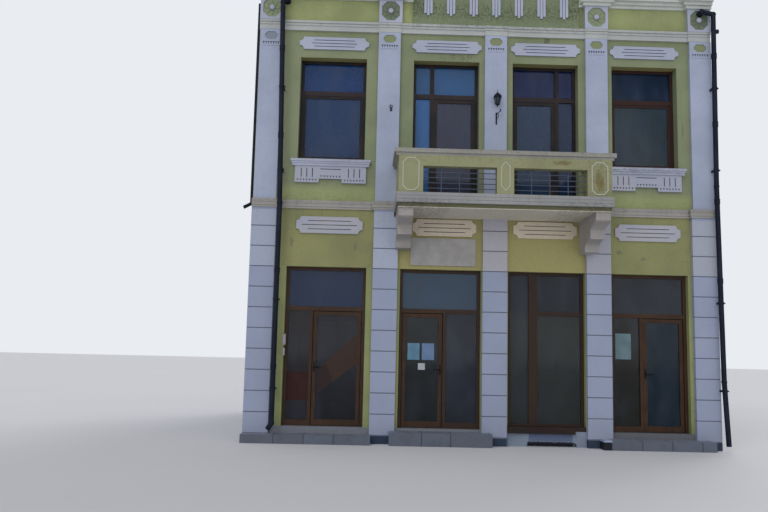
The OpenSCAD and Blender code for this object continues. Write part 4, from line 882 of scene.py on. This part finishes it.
# papers and plain films on the shop glass
leafPane, fixedPane = -3.6365, -3.6465  # just before the glass of a door leaf and of a window
paperSet = {  # name: body, low x, low z, high x, high z, plane y, colour, shade
    "noticeLeft": ("door_2", -1.401, 1.524, -1.178, 1.832, leafPane, "#6c98b0", "#5c839b"),
    "noticeRight": ("door_2", -1.134, 1.526, -0.905, 1.834, leafPane, "#7189ae", "#657ca0"),
    "noticeSmall": ("door_2", -1.202, 1.342, -1.072, 1.464, leafPane, "#bfc2ca", "#a9adb6"),
    "noticeBay4": ("house", 2.505, 1.62, 2.80, 2.10, fixedPane, "#70898f", "#647b85"),
    "filmBay1": ("house", -3.638, 0.735, -3.242, 1.255, fixedPane, "#3b1f1a", "#331b18"),
}
paperThickness = 0.0008
curl = {"height": 0.12, "lift": 0.004}  # the lower corners of a notice lift a little


def makePapers():
    for name, (body, x0, z0, x1, z1, y, colour, shade) in paperSet.items():
        paper = upright(name, (x0, x1), (z0, z1), y, 6, 8)
        notice = name.startswith("notice")
        for vertex in paper.data.vertices if notice else ():
            low = max(0.0, (z0 + curl["height"] - vertex.co.z) / curl["height"])
            side = abs(vertex.co.x - (x0 + x1) / 2) / ((x1 - x0) / 2)
            vertex.co.y -= curl["lift"] * low ** 2 * side ** 2
        modify(paper, "SOLIDIFY", thickness=paperThickness, offset=1)
        finished(paper, body, plainPaper(name + "Paper", colour, shade), 40)
    print("papers made")


makePapers()


# a plain diagonal band of coloured film on the first door; its foot and top rise from left to right
bandSet = {"x": (-3.068, -2.34), "foot": (0.866, 1.423), "top": (1.312, 1.985), "point": (-2.79, 1.13), "slope": 0.45}


def makeBand():
    s = bandSet
    band = upright("filmBand", (-0.5, 0.5), (-0.5, 0.5), 0, 10, 4)
    for vertex in band.data.vertices:
        along, up = vertex.co.x + 0.5, vertex.co.z + 0.5
        x, foot, top = [first + (last - first) * along for first, last in (s["x"], s["foot"], s["top"])]
        vertex.co = (x, leafPane, foot + (top - foot) * up)
    modify(band, "SOLIDIFY", thickness=paperThickness, offset=1)
    f = Finish("bandFilm", roughness=0.3, specular=0.25)
    x, _, z = f.axes()
    dark = (x + abs(z - s["point"][1]) * s["slope"]) < s["point"][0]
    f.feed("Base Color", f.blend(dark, f.blend(f.noise(3.0), paint("#3c2215"), paint("#2d1e17")), paint("#28120f")))
    f.bump(f.noise(12.0, 3.0), 0.1, 0.002)
    finished(band, "door_1", f.material)
    print("band made")


makeBand()


# door bell and lock box beside the first door
bellSet = {"plate": ((-3.72, -3.822, 1.745), (-3.664, -3.8, 1.935)),
           "hood": ((-3.723, -3.832, 1.932), (-3.661, -3.8, 1.946)),
           "lock": ((-3.71, -3.815, 1.55), (-3.674, -3.8, 1.69)), "buttons": 4, "step": 0.038}


def makeBell():
    s = bellSet
    bell = [block("bellPlate", *s["plate"], 0.006), block("bellHood", *s["hood"], 0.003), block("lockBox", *s["lock"])]
    for k in range(s["buttons"]):
        up = k * s["step"]
        bell.append(block("bellButton", (-3.708, -3.827, 1.77 + up), (-3.678, -3.822, 1.792 + up), 0.002))
    bell = joined("doorBell", bell)
    finished(bell, "house", metalPaint("bellMetal", "#a9a6ad", "#5c5a60", 0.35), 30)
    print("bell made")


makeBell()


# small ring hook on the second pilaster
hookSet = {"x": -1.8175, "plate": ((-1.834, -3.879, 6.215), (-1.801, -3.87, 6.285)), "root": (-3.874, 6.25),
           "tip": (-3.92, 6.268), "ring": (-3.924, 6.296), "radius": 0.026, "thick": 0.008}


def makeHook():
    s = hookSet
    hook = [block("hookPlate", *s["plate"], 0.003),
            rod("hookBar", (s["x"], *s["root"]), (s["x"], *s["tip"]), s["thick"], 12),
            ring("hookRing", (s["x"], *s["ring"]), (math.pi / 2, 0, 0.3), s["radius"], s["thick"], 24)]
    hook = joined("wallHook", hook)
    finished(hook, "house", metalPaint("fittingIron", "#14171d", "#2e3036", 0.5, 0.25), 40)
    print("hook made")


makeHook()


# collars where two lengths of pipe meet, and lugs on the clips
pipeSet = {
    "levels": [((7.35, 7.45), "collar"), ((5.65, 6.1), "collar"), ((3.1, 4.6), "collar"), ((1.35, 3.1), "collar"),
               ((6.6, 6.809), "lug"), ((4.997, 5.206), "lug"), ((2.571, 2.692), "lug"), ((0.963, 1.084), "lug")],
    "left": [(8.277, -3.935), (4.36, -3.85), (0.3, -3.847)],  # corners of each pipe as height, place
    "right": [(8.29, 4.385), (4.9, 4.356), (1.25, 4.394), (0.08, 4.45)],
    "y": -3.998,
    "collar": [[0.045, -0.05], [0.053, -0.048], [0.053, 0.03], [0.056, 0.036], [0.056, 0.05], [0.045, 0.052]],
}


def pipeX(side, z):
    for (top, first), (foot, second) in zip(pipeSet[side], pipeSet[side][1:]):
        if z >= foot:
            return first + (top - z) / (top - foot) * (second - first)


def makeCollars():
    s = pipeSet
    collars = []
    for level, kind in s["levels"]:
        for side, z in zip(("left", "right"), level):
            x, y = pipeX(side, z), s["y"]
            if kind == "collar":
                collars.append(turned("collar", (x, y, z), s["collar"]))
            else:
                collars.append(block("lug", (x + 0.05, y - 0.014, z - 0.012), (x + 0.075, y + 0.014, z + 0.012), 0.003))
    collars = joined("pipeCollars", collars)
    finished(collars, "house", finishes["downpipes"], 40)
    print("collars made")


makeCollars()


# fine beads of the string cornice over the pilasters, rows as foot, top and front
beadSet = {"xs": (-4.15, -1.86, 0.19, 2.14, 4.15), "half": 0.218, "rootY": -3.872,
           "rows": ((7.93, 7.975, -3.894), (7.88, 7.918, -3.888))}


def makeBeads():
    s = beadSet
    beads = []
    for x in s["xs"]:
        left, right = max(x - s["half"], -halfWidth), min(x + s["half"], halfWidth)
        for foot, top, y in s["rows"]:
            beads.append(block("bead", (left, y, foot), (right, s["rootY"], top)))
    beads = joined("stringBeads", beads)
    finished(beads, "house", finishes["string_cornice"], 30)
    print("beads made")


makeBeads()


# back of the house: window sills and a door knob
backSet = {"bays": (-3.005, -0.835, 1.165, 3.145), "doorBay": 1, "half": 0.66, "sillY": (3.702, 3.86),
           "sillTops": (1.18, 5.246), "thick": 0.045, "knobAt": (-0.43, 3.68, 1.33),
           "knob": [[0.012, 0.0], [0.012, 0.03], [0.026, 0.04], [0.028, 0.055], [0.0, 0.066]],
           "plate": ((-0.45, 3.68, 1.2), (-0.41, 3.686, 1.39))}


def makeBack():
    s = backSet
    near, far = s["sillY"]
    sills = []
    for storey, top in enumerate(s["sillTops"]):
        for k, x in enumerate(s["bays"]):
            if storey or k != s["doorBay"]:
                sills.append(block("sill", (x - s["half"], near, top - s["thick"]), (x + s["half"], far, top), 0.006))
    sills = joined("backSills", sills)
    finished(sills, "house", weathered("sillStone", {
        "colour": "#a9a8a5", "shade": "#94938f", "dirt": "#6d6a63", "mouldColour": "#4c4b47", "bare": "#7b7770",
        "runs": [(5.25, 0.2, 0.5)]}), 30)
    knob = turned("knob", (0, 0, 0), s["knob"], 20)
    knob.rotation_euler = (-math.pi / 2, 0, 0)
    knob.location = s["knobAt"]
    settle(knob)
    knob = joined("backDoorKnob", [knob, block("escutcheon", *s["plate"], 0.003)])
    finished(knob, "house", metalPaint("knobIron", "#3a3836", "#77706a"), 40)
    print("back made")


makeBack()


# stage, sky and lights
stageSet = {"size": 240, "drop": -0.002, "light": ("#f2f4fa", 0.5), "shown": ("#e9ecf1", 1.0),
            "lamps": {"key": ((48, 0, -32), 0.4, 24), "fill": ((90, 0, -6), 0.85, 60),  # turn, strength, angle
                      "back": ((52, 0, 150), 0.8, 30)}}


def makeStage():
    s = stageSet
    f = Finish("stageFloor", roughness=0.9, specular=0.2)
    f.feed("Base Color", f.blend(f.noise(0.3), paint("#ececee"), paint("#e6e6e9")))
    deselectAll()
    bpy.ops.mesh.primitive_plane_add(size=s["size"], location=(0, 0, s["drop"]))
    floor = bpy.context.object
    floor.name = "floor"
    floor.data.materials.append(f.material)

    world = bpy.data.worlds.new("studio")
    bpy.context.scene.world = world
    world.use_nodes = True
    sky = Graph(world.node_tree)
    camera = sky.node("LightPath", {}, {}, "Is Camera Ray")
    glass = Wire(sky, camera.socket.node.outputs["Is Transmission Ray"])
    light, shown = [sky.node("Background", {}, {"Color": paint(code), "Strength": strength})
                    for code, strength in (s["light"], s["shown"])]
    sky.node("OutputWorld", {}, {0: sky.node("MixShader", {}, {0: camera.high(glass), 1: light, 2: shown})})

    for name, (turn, strength, angle) in s["lamps"].items():
        lamp = bpy.data.lights.new(name, "SUN")
        lamp.energy, lamp.angle = strength, math.radians(angle)
        lampObject = bpy.data.objects.new(name, lamp)
        lampObject.rotation_euler = [math.radians(part) for part in turn]
        bpy.context.scene.collection.objects.link(lampObject)
    print("stage and lights set")


cameraSet = {"place": (-2.177, -18.40, 1.669), "pitch": 0.1207, "roll": -0.0229, "yaw": -0.0200,
             "focal": 785.0, "pixels": 768, "sensor": 36.0}


def makeCamera():
    s = cameraSet
    right = Vector((math.cos(s["yaw"]), math.sin(s["yaw"]), 0))
    ahead = Vector((-math.sin(s["yaw"]) * math.cos(s["pitch"]), math.cos(s["yaw"]) * math.cos(s["pitch"]),
                    math.sin(s["pitch"])))
    up = right.cross(ahead)
    rolledRight = right * math.cos(s["roll"]) - up * math.sin(s["roll"])
    rolledUp = right * math.sin(s["roll"]) + up * math.cos(s["roll"])
    turn = Matrix((rolledRight, rolledUp, -ahead)).transposed().to_4x4()
    camera = bpy.data.cameras.new("camera")
    camera.sensor_width = s["sensor"]
    camera.lens = s["focal"] / s["pixels"] * s["sensor"]
    camera.clip_end = 400
    cameraObject = bpy.data.objects.new("camera", camera)
    cameraObject.matrix_world = Matrix.Translation(s["place"]) @ turn
    bpy.context.scene.collection.objects.link(cameraObject)
    bpy.context.scene.camera = cameraObject
    bpy.context.scene.view_settings.view_transform = "Standard"
    print("camera set")


makeStage()
makeCamera()
